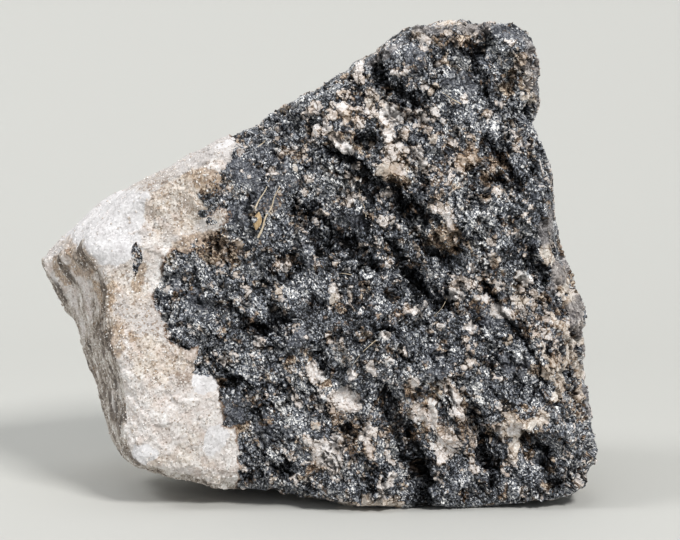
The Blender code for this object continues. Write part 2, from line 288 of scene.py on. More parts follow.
TAN_CLUSTERS = [
    (516, 427, 28, 28), (537, 421, 12, 14), (277, 474, 12, 20), (318, 424, 14, 12), (368, 505, 66, 8),
    (546, 258, 11, 22), (577, 312, 8, 22), (559, 380, 9, 18), (550, 374, 10, 14), (539, 363, 9, 10),
    (386, 171, 22, 24), (436, 140, 13, 9), (470, 158, 16, 18), (332, 302, 8, 12), (280, 287, 9, 8),
    (445, 23, 22, 9), (467, 27, 28, 12), (511, 60, 26, 9), (498, 262, 12, 18), (520, 300, 9, 9),
    (372, 98, 10, 16), (345, 118, 10, 12), (505, 340, 14, 10), (446, 62, 9, 22), (434, 92, 12, 8),
    (545, 400, 12, 16), (418, 30, 16, 8), (530, 100, 14, 12), (296, 172, 8, 16), (238, 246, 14, 18),
]
# Column, row, half length, half width, turn in degrees
CREAM_COUNTRY = [
    (385, 140, 80, 50, -20), (350, 95, 26, 24, 0), (450, 32, 50, 18, 0), (524, 70, 26, 34, 0),
    (562, 330, 32, 90, 0), (430, 420, 70, 52, 0), (498, 298, 60, 28, -35), (515, 432, 34, 28, 0),
    (340, 440, 52, 46, 0), (470, 165, 52, 44, 0), (440, 225, 40, 30, -50),
]
SLATE_PATCHES = [
    (243, 172, 20, 16, -30), (276, 158, 20, 9, -45), (262, 200, 24, 15, 0), (283, 186, 14, 12, 0),
    (307, 258, 10, 14, 0), (240, 216, 16, 14, 0), (235, 410, 14, 20, 0), (270, 432, 28, 16, -10),
    (302, 340, 16, 10, 0), (418, 397, 16, 12, 0), (438, 375, 14, 10, 0), (488, 312, 22, 16, -30),
    (436, 356, 16, 10, 0), (513, 367, 16, 16, -40), (507, 32, 18, 10, 0), (415, 57, 16, 16, 0),
    (460, 85, 20, 18, 0), (170, 285, 9, 16, 0), (196, 300, 14, 16, 0), (360, 222, 9, 12, 0),
]
WHITE_LUMPS = [
    (327, 453, 16, 11, -42), (309, 441, 9, 5, -30), (347, 398, 13, 9, -20), (313, 374, 10, 6, -20),
    (352, 374, 5, 4, 0), (372, 366, 5, 7, 20), (418, 384, 6, 5, 0), (388, 480, 6, 11, 0),
    (458, 403, 6, 10, -30), (434, 417, 7, 8, -20), (388, 336, 5, 5, 0), (500, 311, 12, 6, -35),
    (454, 294, 8, 5, -25), (519, 428, 13, 7, 0), (446, 222, 5, 9, 0), (392, 110, 8, 9, 0),
    (388, 132, 6, 8, 0), (358, 70, 5, 7, 0), (344, 148, 9, 5, -20), (468, 331, 5, 4, 0),
    (441, 455, 6, 6, 0), (366, 431, 4, 11, -20), (420, 150, 8, 5, -20), (578, 322, 4, 12, -15),
]
# Stretches made paler or darker: partly the rock's own tone, partly painted light and shade.
PALER_STRETCHES = [
    (462, 70, 26, 14, 0), (300, 104, 20, 10, 30), (345, 178, 22, 16, -40), (385, 188, 12, 8, 0),
    (480, 220, 14, 12, 0), (430, 235, 20, 14, 0), (185, 258, 34, 14, 0), (450, 310, 12, 10, 0),
    (530, 364, 26, 22, 0), (300, 375, 20, 14, 0), (430, 390, 48, 18, 0), (270, 430, 24, 36, 0),
    (340, 465, 18, 10, 0), (355, 488, 14, 8, 0), (120, 395, 10, 22, 0), (475, 402, 16, 14, 0),
    (162, 282, 14, 12, 0),
]
DARKER_STRETCHES = [
    (345, 112, 30, 22, 0), (390, 158, 14, 13, 0), (450, 158, 14, 12, 0), (420, 190, 12, 8, 0),
    (545, 95, 14, 18, 0), (510, 260, 14, 14, 0), (540, 300, 16, 18, 0), (570, 345, 10, 16, 0),
    (328, 318, 26, 24, 0), (405, 315, 20, 14, 0), (370, 430, 20, 9, 0), (450, 462, 12, 11, 0),
    (510, 460, 14, 11, 0), (182, 372, 16, 28, 0), (98, 320, 16, 22, 0), (280, 275, 18, 13, 0),
]
# Half width, and the places that the vein runs through
PALE_VEINS = [
    (6, [(446, 384), (455, 398), (464, 414)]), (6, [(433, 410), (438, 428), (450, 446), (440, 456)]),
    (5, [(484, 299), (498, 310), (512, 318)]), (5, [(443, 288), (458, 297)]),
    (5, [(418, 404), (417, 420)]), (9, [(322, 446), (334, 462)]), (8, [(336, 396), (352, 404)]),
    (5, [(384, 182), (394, 192)]),
    (6, [(382, 490), (384, 504)]), (4, [(364, 436), (370, 450)]), (5, [(386, 106), (398, 118)]),
    (5, [(340, 146), (352, 152)]), (6, [(388, 128), (392, 144)]), (4, [(392, 154), (400, 158)]),
    (5, [(441, 214), (450, 230)]), (4, [(332, 290), (336, 300)]), (5, [(516, 442), (520, 460)]),
]
TAN_VEINS = [
    (5, [(543, 246), (548, 258), (554, 266)]), (4, [(556, 268), (566, 284), (577, 306), (583, 330)]),
    (4, [(552, 310), (562, 334), (570, 350), (561, 374), (557, 398)]), (3, [(570, 350), (581, 338)]),
    (3, [(541, 346), (553, 362), (561, 374)]), (9, [(508, 424), (524, 432), (516, 448)]),
    (6, [(520, 428), (542, 418)]), (5, [(340, 506), (368, 508), (396, 505)]),
    (3, [(574, 358), (582, 380), (578, 398)]), (4, [(436, 20), (462, 22)]),
]
RUST_SPOTS = [
    (319, 466, 10, 8, 0), (287, 364, 8, 6, 0), (322, 382, 7, 6, 0), (450, 235, 10, 9, 0),
    (218, 246, 24, 18, 0), (218, 384, 8, 6, 0), (240, 428, 8, 6, 0), (206, 184, 20, 12, 0),
    (396, 178, 14, 10, 0), (470, 158, 12, 12, 0), (446, 240, 16, 8, -40), (530, 60, 16, 10, 0),
]
BROWN_STAINS = [
    (80, 262, 30, 12, -50), (102, 294, 20, 10, -62), (205, 176, 24, 10, 0), (196, 246, 26, 12, 0),
    (140, 275, 8, 22, 0), (118, 340, 8, 20, 0), (160, 178, 22, 8, 20), (134, 335, 6, 5, 0),
    (93, 266, 8, 6, 0), (150, 330, 4, 3, 0), (108, 288, 5, 5, 0), (60, 272, 18, 9, -60),
]
SPECKLED = [
    (176, 206, 44, 30, 15), (124, 300, 26, 36, 0), (150, 184, 24, 10, 20), (148, 350, 22, 34, 0),
]
WHITE_QUARTZ = [
    (104, 222, 50, 26, 32), (112, 246, 34, 18, 0), (203, 383, 15, 10, 0), (145, 455, 14, 10, 0),
    (216, 440, 12, 18, 0), (232, 140, 22, 6, 28),
]
WEATHERED_RIM = [
    (532, 46, 16, 12, -30), (540, 80, 7, 34, 0), (534, 66, 12, 16, 0), (548, 228, 8, 22, -20),
    (562, 268, 8, 26, -20), (576, 310, 8, 24, -15), (584, 345, 7, 26, 0), (588, 396, 6, 24, 0),
    (430, 28, 22, 7, 0), (382, 54, 26, 6, 30), (470, 27, 20, 6, 0),
]
DARK_INCLUSIONS = [
    (135, 259, 16, 6, 80), (212, 192, 14, 10, 0), (203, 216, 7, 5, 0), (214, 224, 7, 5, 0),
]
MINGLED = [(214, 194, 36, 34, 0), (214, 246, 40, 24, 0), (238, 150, 14, 30, 0)]
print("marks:", len(SUNKEN_SHADED_HOLLOWS), "hollows,", len(PALE_CLUSTERS) + len(TAN_CLUSTERS), "clusters")

# %% Fields of the marks
def segment_distance(column, row, start, end):
    """How far each place is from a straight stretch, in pixels."""
    (x0, y0), (x1, y1) = start, end
    run = (column - x0) * (x1 - x0) + (row - y0) * (y1 - y0)
    run = np.clip(run / ((x1 - x0) ** 2 + (y1 - y0) ** 2), 0, 1)
    return np.hypot(column - x0 - run * (x1 - x0), row - y0 - run * (y1 - y0))


def signed_inside(column, row, outline):
    """How far inside a closed outline each place lies, in pixels. Outside it is negative."""
    nearest = np.full(len(column), 1e9)
    inside = np.zeros(len(column), bool)
    for start, end in zip(outline, outline[1:] + outline[:1]):
        nearest = np.minimum(nearest, segment_distance(column, row, start, end))
        (x0, y0), (x1, y1) = start, end
        if y0 != y1:
            crosses = (row < y0) != (row < y1)
            inside ^= crosses & (column < x0 + (row - y0) * (x1 - x0) / (y1 - y0))
    return np.where(inside, nearest, -nearest)


def in_spots(column, row, marks):
    """1 at the middle of a mark, 0 at its rim, falling to -1 away from all of them."""
    strongest = np.full(len(column), -1.0)
    for x, y, length, width, *turned in marks:
        turn = math.radians(turned[0]) if turned else 0.0
        if not turned:
            length, width = length / 2, width / 2
        along = (column - x) * math.cos(turn) - (row - y) * math.sin(turn)
        across = (column - x) * math.sin(turn) + (row - y) * math.cos(turn)
        strongest = np.maximum(strongest, 1 - np.hypot(along / length, across / width))
    return strongest


def in_bands(column, row, bands):
    """The same for bands: 1 on the middle line, 0 at the rim."""
    strongest = np.full(len(column), -1.0)
    for width, places in bands:
        for start, end in zip(places, places[1:]):
            strongest = np.maximum(strongest, 1 - segment_distance(column, row, start, end) / width)
    return strongest


def smooth_step(values, low, high):
    """0 below low, 1 above high."""
    t = np.clip((values - low) / (high - low), 0, 1)
    return t * t * (3 - 2 * t)


# %% [markdown]
# ## The fine surface
#
# The solid has facets some millimetres wide. A voxel remesh of it gives an even skin, and smoothing
# takes the flat facets out of it. The broken front is then cut finer than the rest, because the smallest
# chips show there. The relief that follows is made of flat chips at random tilts, not of soft noise.

# %% An even skin over the solid
SKIN_VOXEL = 1.45
SKIN_ROUNDS, SKIN_SOFTNESS = 1, 0.5
FRONT_CUTS, FRONT_CUT_SOFTNESS = 2, 0.3
FRONT_FACING = 0.2
TIP_REACH, TIP_PULL = 9.0, 1.8


def merged_copy(node):
    """A CAD node's mesh with its loose triangles joined."""
    bm = bmesh.new()
    bm.from_mesh(node.data)
    bmesh.ops.remove_doubles(bm, verts=bm.verts[:], dist=1e-6)
    mesh = bpy.data.meshes.new("merged")
    bm.to_mesh(mesh)
    bm.free()
    return mesh


def object_of(name, mesh):
    """A new object at the origin that holds the mesh."""
    holder = bpy.data.objects.new(name, mesh)
    bpy.context.scene.collection.objects.link(holder)
    return holder


def settled(holder):
    """The object's mesh with its modifiers worked in. The object goes."""
    graph = bpy.context.evaluated_depsgraph_get()
    mesh = bpy.data.meshes.new_from_object(holder.evaluated_get(graph))
    bpy.data.objects.remove(holder)
    return mesh


def numbers_of(mesh, what="co"):
    """The vertices' places or normals."""
    values = np.empty(len(mesh.vertices) * 3, np.float32)
    if what == "co":
        mesh.vertices.foreach_get("co", values)
    else:
        mesh.vertex_normals.foreach_get("vector", values)
    return values.reshape(-1, 3)


def even_skin(node):
    """An even mesh over a CAD node, with its facets softened."""
    holder = object_of("skin", merged_copy(node))
    remesh = holder.modifiers.new("even", "REMESH")
    remesh.mode = "VOXEL"
    remesh.voxel_size = SKIN_VOXEL * MM
    smooth = holder.modifiers.new("soften", "SMOOTH")
    smooth.factor = SKIN_SOFTNESS
    smooth.iterations = SKIN_ROUNDS
    return settled(holder)


def finer_front(mesh):
    """Cuts every face of the front into a small grid."""
    bm = bmesh.new()
    bm.from_mesh(mesh)
    toward = Vector(AXIS_W)
    for face in bm.faces:
        face.tag = face.normal.dot(toward) > FRONT_FACING
    edges = [edge for edge in bm.edges if any(face.tag for face in edge.link_faces)]
    softness = FRONT_CUT_SOFTNESS
    bmesh.ops.subdivide_edges(bm, edges=edges, cuts=FRONT_CUTS, use_grid_fill=True, smooth=softness)
    bm.to_mesh(mesh)
    bm.free()
    mesh.update()


def triangle_count(mesh):
    mesh.calc_loop_triangles()
    return len(mesh.loop_triangles)


def sharper_tip(mesh):
    """Draws the left tip out again, which the smoothing made blunt."""
    points = numbers_of(mesh)
    tip = points[points[:, 0].argmin()].copy()
    nearness = np.exp(-(np.linalg.norm(points - tip, axis=1) / (TIP_REACH * MM)) ** 2)
    points[:, 0] -= TIP_PULL * MM * nearness
    mesh.vertices.foreach_set("co", points.ravel())
    mesh.update()


skin = even_skin(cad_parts["stone"])
sharper_tip(skin)
finer_front(skin)
print("skin:", len(skin.vertices), "vertices,", triangle_count(skin), "triangles")

# %% [markdown]
# ## Zones
#
# Each vertex learns what grows there. The places of the marks are pushed about by noise first, because
# nothing in a broken stone has a smooth outline. What the marks say is kept as numbers on the vertices:
# the relief, the finishes and the strewn grains all read the same ones, so that they agree. The marks
# hold for the front only. On the faces that the photograph doesn't show, soft clouds of noise say where
# the cream grains gather.

# %% Zones of the skin
MATRIX_SLANT = 0.16
OUT_OF_PICTURE = [(-400, 560), (-400, -200), (236, -200)]
RAGGED = [(5.0, 7.0), (1.5, 4.0)]
RAGGED_SEED = 1
STAIN_DEPTH = -40.0
UNSEEN_CLOUDS = 9.0
# For each zone its marks, and how far inside them it starts and is full
MARKED_ZONES = {
    "bold": (WHITE_LUMPS, -0.3, 0.4),
    "warm": (CREAM_COUNTRY, -0.2, 0.5),
    "slate": (SLATE_PATCHES, -0.1, 0.3),
    "rust": (RUST_SPOTS, -0.4, 0.5),
    "mingled": (MINGLED, -0.2, 0.5),
    "speckled": (SPECKLED, -0.3, 0.4),
    "inclusion": (DARK_INCLUSIONS, -0.3, 0.2),
    "rim": (WEATHERED_RIM, -0.3, 0.4),
}


def pushes(points, size, reach):
    """A soft random push for each point, up to about this reach."""
    return reach * np.array([noise.noise_vector(Vector(point) / (size * MM)) for point in points])


def zones_of_form(points, normals, column, row):
    """Zones that follow from where a vertex lies and which way it faces."""
    facing, upward = normals @ AXIS_W, normals[:, 2]
    inward = column - MATRIX_SLANT * to_face(points)[2] / PIXEL
    on_top = smooth_step(upward, 0.25, 0.6)
    return {
        "matrix": signed_inside(inward, row, MATRIX_EDGE + OUT_OF_PICTURE) * PIXEL,
        "front": smooth_step(facing, 0.05, 0.35),
        "fine": smooth_step(facing, FRONT_FACING, 0.5),
        "top": on_top,
        "side": (1 - smooth_step(np.abs(facing), 0.3, 0.75)) * (1 - 0.8 * on_top),
        "ground": smooth_step(points[:, 2] / MM, 0.3, 3.0),
    }


def cream_zones(points, front, marked, column, row):
    """The hollows, the tan grains, and how much cream there is at each vertex."""
    def seen(values):
        return values * front - (1 - front)

    hollow = np.maximum(in_spots(column, row, SUNKEN_SHADED_HOLLOWS), in_bands(column, row, SUNKEN_SHADED_BANDS))
    hollow = seen(hollow)
    tan_vein = seen(in_bands(column, row, TAN_VEINS))
    vein = np.maximum(seen(in_bands(column, row, PALE_VEINS)), tan_vein)
    tan = np.maximum(seen(in_spots(column, row, TAN_CLUSTERS)), tan_vein)
    pale = np.maximum(seen(in_spots(column, row, PALE_CLUSTERS)), tan)
    clouds = np.array([noise.noise(Vector(point) / (UNSEEN_CLOUDS * MM)) for point in points])
    unseen = smooth_step(clouds, 0.06, 0.3) * (1 - front)
    lump = 0.24 * smooth_step(pale, 0.1, 0.5) + 0.34 * smooth_step(vein, -0.1, 0.4)
    cluster = smooth_step(pale, -0.3, 0.3) + unseen * 0.7
    country = marked["warm"] + unseen
    cream = 0.27 * cluster + 0.12 * country + lump + 0.4 * marked["bold"]
    # The hollows hold fewer cream grains, which keeps them dark as painted shade.
    cream = cream - 0.10 * marked["slate"] - 0.2 * smooth_step(hollow, -0.1, 0.3)
    return {"hollow": hollow, "tan": smooth_step(tan, -0.4, 0.2), "cream": cream, "warm": country}


def mark_zones(mesh):
    """Writes the zones of the stone on its vertices."""
    points = numbers_of(mesh)
    column, row = in_picture(points)
    zones = zones_of_form(points, numbers_of(mesh, "normal"), column, row)
    front = zones["front"]
    noise.seed_set(RAGGED_SEED)
    push = sum(pushes(points, size, reach) for size, reach in RAGGED)
    column, row = column + push[:, 0], row + push[:, 2]
    for name, (marks, start, full) in MARKED_ZONES.items():
        inside = in_spots(column, row, marks) * front - (1 - front)
        zones[name] = smooth_step(inside, start, full)
    zones.update(cream_zones(points, front, zones, column, row))
    far_back = to_face(points)[2] < STAIN_DEPTH
    zones["stain"] = smooth_step(in_spots(column, row, BROWN_STAINS) - far_back, -0.4, 0.5)
    zones["quartz"] = smooth_step(in_spots(column, row, WHITE_QUARTZ) - far_back, -0.2, 0.3)
    # Paler and darker stretches: partly tone, partly painted light and shade.
    paler, darker = (smooth_step(in_spots(column, row, marks), -0.5, 0.5)
                     for marks in (PALER_STRETCHES, DARKER_STRETCHES))
    zones["paler"] = (paler - darker) * front
    for name, values in zones.items():
        layer = mesh.attributes.new(name, "FLOAT", "POINT")
        layer.data.foreach_set("value", np.asarray(values, np.float32))
    print("matrix share of the skin:", round(float((zones["matrix"] > 0).mean()), 2))


mark_zones(skin)

# %% [markdown]
# ## Relief as geometry nodes
#
# A tree of geometry nodes moves the skin. A cell texture gives each chip of stone its own height and
# tilt, which is how a hackly break looks: flats that meet in short steps. The chips are drawn out along
# the grain of the stone. On the sides the sheets of the foliation end in thin ledges, the pale matrix is
# calmer, and the hollows sink. The smallest chips are left out where the skin is coarse, because
# there they would turn into spikes.

# %% What grows where
GRAIN_TURN = math.radians(-56)
GRAIN_ALONG = math.cos(GRAIN_TURN) * AXIS_U + math.sin(GRAIN_TURN) * AXIS_V
GRAIN_ACROSS = -math.sin(GRAIN_TURN) * AXIS_U + math.cos(GRAIN_TURN) * AXIS_V
CLAST_SIZE, CLAST_STRETCH = 2.3, 1.5
GRAIN_SIZE = 0.8
BAND_STRETCH = 2.2
CREAM_SCORE = (0.70, 0.73)


def stone_place(kit, position):
    """Millimetres along the grain, across it in the face, and out of the face."""
    place = kit.scaled(position, 1 / MM)
    axes = (GRAIN_ALONG, GRAIN_ACROSS, AXIS_W)
    return kit.joined(*(kit.vector("DOT_PRODUCT", place, tuple(axis), out="Value") for axis in axes))


def drawn_out(kit, place, stretch):
    """The same place, shortened along the grain, so that what is made there comes out long."""
    return kit.vector("MULTIPLY", place, (1 / stretch, 1.0, 1.0))


def wandered(kit, place, size, reach):
    """The same place, pushed about by soft noise, so that straight borders come out ragged."""
    push = kit.off_middle(kit.noise(place, size, 3.0).out("Color"))
    return kit.vector("ADD", place, kit.scaled(push, reach))


def clasts(kit, place):
    """Where the packing of large crystals is read."""
    return drawn_out(kit, wandered(kit, place, 1.6, 2.2), CLAST_STRETCH)


def small_grains(kit, place):
    """Where the packing of small grains is read."""
    return wandered(kit, place, 0.6, 0.85)


def zone(kit, name):
    """A zone of the stone, read by geometry nodes."""
    return kit.node("GeometryNodeInputNamedAttribute", {"data_type": "FLOAT"}, {"Name": name})


def mark(kit, name):
    """A zone of the stone, read by a finish."""
    return kit.node("ShaderNodeAttribute", {"attribute_name": name}, None, "Fac")


def cloud_over(kit, place):
    """Wide soft changes that the cream grains and the shades of the rock share."""
    return kit.clouds(place, 6.0, 3.0)


def creaminess(kit, place, read):
    """1 where a pale grain grows in the dark rock, and 0 elsewhere."""
    kind = kit.parts(kit.cells(clasts(kit, place), CLAST_SIZE))[0] * 0.55
    kind = kind + kit.parts(kit.cells(small_grains(kit, place), GRAIN_SIZE))[0] * 0.35
    return kit.step(kind + cloud_over(kit, place) * 0.5 + read(kit, "cream"), *CREAM_SCORE)


def gloom(kit, place):
    """1 in the dark bands along the grain, 0 between them; the finish paints shade there."""
    return kit.step(kit.noise(drawn_out(kit, place, BAND_STRETCH), 7.0, 3.0, 0.6), 0.50, 0.62)


def gaps(kit, place):
    """1 in the narrow winding gaps between the crystals."""
    away = kit.maths("ABSOLUTE", kit.clouds(drawn_out(kit, place, BAND_STRETCH), 4.0, 4.0, 0.65))
    open_here = kit.step(kit.noise(place, 8.0, 2.0), 0.42, 0.58)
    return kit.step(away, 0.045, 0.012) * open_here


# %% Relief tree
RELIEF_INPUTS = {
    "Break size": 6.0, "Break step": 0.8, "Break tilt": 0.35,
    "Clast step": 0.6, "Clast tilt": 0.5, "Grain step": 0.3, "Grain tilt": 0.5, "Cream rise": 0.35,
    "Matrix calm": 0.6, "Ledge width": 2.1, "Ledge height": 1.0,
    "Hollow depth": 1.0, "Gloom depth": 0.4, "Gap depth": 0.9,
}


def chips(kit, place, size, step, tilt):
    """Height of flat chips: each has its own level and its own slope."""
    colour = kit.cells(place, size)
    chance = kit.off_middle(colour)
    from_middle = kit.vector("SUBTRACT", place, colour.out("Position"))
    slope = kit.vector("DOT_PRODUCT", chance, from_middle, out="Value")
    return kit.parts(chance)[2] * step + slope * tilt


def new_tree(name, inputs):
    """An empty geometry tree with named number inputs: its kit, and its input node's first wire."""
    tree = bpy.data.node_groups.new(name, "GeometryNodeTree")
    tree.interface.new_socket("Geometry", in_out="INPUT", socket_type="NodeSocketGeometry")
    tree.interface.new_socket("Geometry", in_out="OUTPUT", socket_type="NodeSocketGeometry")
    for title, value in inputs.items():
        kind = "NodeSocketFloat" if isinstance(value, float) else "NodeSocketInt"
        tree.interface.new_socket(title, in_out="INPUT", socket_type=kind)
    kit = Kit(tree)
    return kit, kit.node("NodeGroupInput")


def run_tree(mesh, tree, values):
    """The mesh that the tree makes of this one, with its inputs set by identifier."""
    holder = object_of(tree.name, mesh)
    modifier = holder.modifiers.new(tree.name, "NODES")
    modifier.node_group = tree
    for item in tree.interface.items_tree:
        if item.item_type == "SOCKET" and item.in_out == "INPUT" and item.name in values:
            modifier[item.identifier] = values[item.name]
    return settled(holder)


def stored(kit, geometry, name, kind, value):
    """Writes a value on the vertices under a name."""
    settings = {"data_type": kind, "domain": "POINT"}
    sockets = {"Geometry": geometry, "Name": name, "Value": value}
    return kit.node("GeometryNodeStoreNamedAttribute", settings, sockets)


def sunken(kit, place, in_dark):
    """1 where the hollows and the gaps between the crystals are. The finish paints shade in both."""
    ragged = kit.clouds(drawn_out(kit, place, 1.8), 1.9, 5.0, 0.75) * 4.0
    hollow = kit.step(zone(kit, "hollow") * 0.8 + ragged, 0.05, 0.6) * in_dark
    return hollow, gaps(kit, place) * in_dark


def broken_face(kit, place, get, fine):
    """Height of the chips of all three sizes."""
    long_place = drawn_out(kit, place, 1.4)
    broken = chips(kit, long_place, get("Break size"), get("Break step"), get("Break tilt"))
    crystals = chips(kit, clasts(kit, place), CLAST_SIZE, get("Clast step"), get("Clast tilt"))
    grains = chips(kit, small_grains(kit, place), GRAIN_SIZE, get("Grain step"), get("Grain tilt"))
    quiet = 1 - kit.maths("MAXIMUM", zone(kit, "slate") * 0.45, zone(kit, "rim") * 0.7)
    return broken * (0.55 + fine * 0.45) + (crystals * (0.4 + fine * 0.6) + grains * fine) * quiet


def ledges(kit, place, get, in_matrix):
    """Height of the thin sheets that end on the sides."""
    outward = kit.parts(place)[2]
    sheet = kit.maths("FRACT", (outward + kit.noise(place, 14.0) * 7.0) / get("Ledge width"))
    height = sheet * kit.noise(place, 5.0) * get("Ledge height")
    return height * zone(kit, "side") * (0.4 + in_matrix * 0.6)


def relief_tree():
    """Moves the skin out and in, and keeps on it where it was and how deep it sank."""
    kit, start = new_tree("relief", RELIEF_INPUTS)
    get = start.out
    place = stone_place(kit, kit.node("GeometryNodeInputPosition"))
    in_matrix = kit.step(zone(kit, "matrix"), -0.6, 0.6)
    in_dark = 1 - in_matrix
    fine = zone(kit, "fine")
    calm = 1 - in_matrix * (get("Matrix calm") + zone(kit, "quartz") * 0.2)
    hollow, gap = sunken(kit, place, in_dark)
    gloomy = gloom(kit, place) * in_dark
    lowered = hollow * get("Hollow depth") + gap * get("Gap depth") + gloomy * get("Gloom depth")
    raised = creaminess(kit, place, zone) * in_dark * get("Cream rise")
    height = broken_face(kit, place, get, fine) * calm + ledges(kit, place, get, in_matrix)
    height = (height + raised - lowered * (0.3 + fine * 0.7)) * zone(kit, "ground")
    offset = kit.scaled(kit.node("GeometryNodeInputNormal"), height * MM)
    shape = stored(kit, start, "before", "FLOAT_VECTOR", place)
    # The hollows and gaps, kept as deep, where the finish paints shade.
    shape = stored(kit, shape, "deep", "FLOAT", kit.maths("MAXIMUM", hollow, gap))
    moved = kit.node("GeometryNodeSetPosition", None, {"Geometry": shape, "Offset": offset})
    kit.node("NodeGroupOutput", None, {0: moved})
    return kit.tree


def kept_above_floor(mesh):
    """Presses what would reach under the flat spot back into it."""
    points = numbers_of(mesh)
    points[:, 2] = np.maximum(points[:, 2], 0.0)
    mesh.vertices.foreach_set("co", points.ravel())
    mesh.update()


skin = run_tree(skin, relief_tree(), RELIEF_INPUTS)
kept_above_floor(skin)
print("relief on", len(skin.vertices), "vertices")

# %% [markdown]
# ## Finishes
#
# The dark rock is a mosaic: large crystals, small grains between them and a pepper of tiny flecks, each
# with its own shade and its own tilt, so that some flash while their neighbours stay black. A cell
# texture does all three: its colour output is one random number triple for each cell. The brightest
# flecks are also painted near white, as painted glints. Dark seams run between the crystals, and where
# the edge has weathered a grey film lies on them. The dark bands and the hollows are darkened with
# painted shade. Which cells are cream, brown or slate blue depends on the zones. The pale matrix is a
# sugar of small grains with brown specks. Its side is streaked along the foliation and darkened with
# painted shade, and its top is greyed with a film that is partly painted shade.
#
# Each shade is a sum: so much of the fleck, so much of the grain, so much of the cloud over both. A ramp
# turns the sum into a colour. The shares were tuned until the tones were those of the photograph.

# %% Finish helpers
def new_finish(name):
    material = bpy.data.materials.new(name)
    material.use_nodes = True
    material.node_tree.nodes.clear()
    return Kit(material.node_tree), material


def blended(kit, share, below, above):
    """A colour between two others."""
    below, above = ((*value, 1.0) if isinstance(value, tuple) else value for value in (below, above))
    sockets = {0: share, 6: below, 7: above}
    return kit.node("ShaderNodeMix", {"data_type": "RGBA"}, sockets, 2)


def ramp(kit, value, stops):
    return kit.node("ShaderNodeValToRGB", {"stops": stops}, {0: value})


def tilted(kit, chance, amount):
    """The surface's normal, tipped by a random triple."""
    normal = kit.node("ShaderNodeNewGeometry", None, None, "Normal")
    lean = kit.scaled(kit.off_middle(chance), amount)
    return kit.vector("NORMALIZE", kit.vector("ADD", normal, lean))


def end_finish(kit, sockets):
    surface = kit.node("ShaderNodeBsdfPrincipled", None, sockets)
    kit.node("ShaderNodeOutputMaterial", None, {"Surface": surface})


# %% Colours of the dark rock
# The top stops, from pale grey to near white, are painted glints on the brightest flecks.
ROCK_AND_GLINT_STOPS = [
    (0.0, (0.002, 0.002, 0.002)), (0.14, (0.005, 0.005, 0.006)), (0.30, (0.020, 0.021, 0.024)),
    (0.44, (0.059, 0.066, 0.081)), (0.58, (0.140, 0.153, 0.182)), (0.74, (0.285, 0.302, 0.340)),
    (0.88, (0.58, 0.58, 0.58)), (1.0, (0.95, 0.94, 0.92)),
]
SLATE_STOPS = [
    (0.0, (0.006, 0.007, 0.009)), (0.30, (0.030, 0.032, 0.040)), (0.55, (0.085, 0.091, 0.110)),
    (0.75, (0.18, 0.19, 0.215)), (0.88, (0.42, 0.43, 0.45)), (1.0, (0.85, 0.86, 0.87)),
]
BROWN_STOPS = [
    (0.0, (0.006, 0.004, 0.003)), (0.30, (0.040, 0.022, 0.011)), (0.50, (0.13, 0.073, 0.036)),
    (0.70, (0.28, 0.175, 0.095)), (1.0, (0.56, 0.43, 0.29)),
]
CREAM_STOPS = [
    (0.0, (0.018, 0.014, 0.011)), (0.18, (0.09, 0.066, 0.047)), (0.30, (0.352, 0.295, 0.25)),
    (0.46, (0.59, 0.53, 0.492)), (0.70, (0.755, 0.715, 0.697)), (1.0, (0.92, 0.905, 0.90)),
]
TAN_STOPS = [
    (0.0, (0.020, 0.015, 0.010)), (0.20, (0.15, 0.105, 0.068)), (0.36, (0.365, 0.30, 0.24)),
    (0.60, (0.57, 0.50, 0.438)), (1.0, (0.805, 0.765, 0.715)),
]
RIM_STOPS = [
    (0.0, (0.055, 0.050, 0.052)), (0.35, (0.19, 0.178, 0.18)), (0.6, (0.36, 0.335, 0.33)),
    (1.0, (0.66, 0.62, 0.60)),
]


RUSTED_CREAM = (0.33, 0.20, 0.105)
FLECK_SIZE, FLECK_STRETCH = 0.27, 1.25
SEAM_WIDTHS, CRACK_WIDTHS = (0.08, 0.02), (0.15, 0.04)


# %% The dark rock
def crystals_at(kit, place):
    """What a finish needs to know of the crystals at a place."""
    large_place, small_place = clasts(kit, place), small_grains(kit, place)
    pepper = kit.cells(drawn_out(kit, place, FLECK_STRETCH), FLECK_SIZE)
    small = kit.cells(small_place, GRAIN_SIZE)
    fleck, other_fleck, _ = kit.parts(pepper)
    _, tone, kind = kit.parts(kit.cells(large_place, CLAST_SIZE))
    _, small_tone, small_kind = kit.parts(small)
    return SimpleNamespace(
        tone=tone, kind=kind, small_tone=small_tone, small_kind=small_kind,
        fleck=fleck, other_fleck=other_fleck, cloud=cloud_over(kit, place),
        seam=kit.borders(large_place, CLAST_SIZE, *SEAM_WIDTHS),
        crack=kit.borders(small_place, GRAIN_SIZE, *CRACK_WIDTHS),
        chance=kit.scaled(kit.vector("ADD", pepper, small), 0.5),
    )


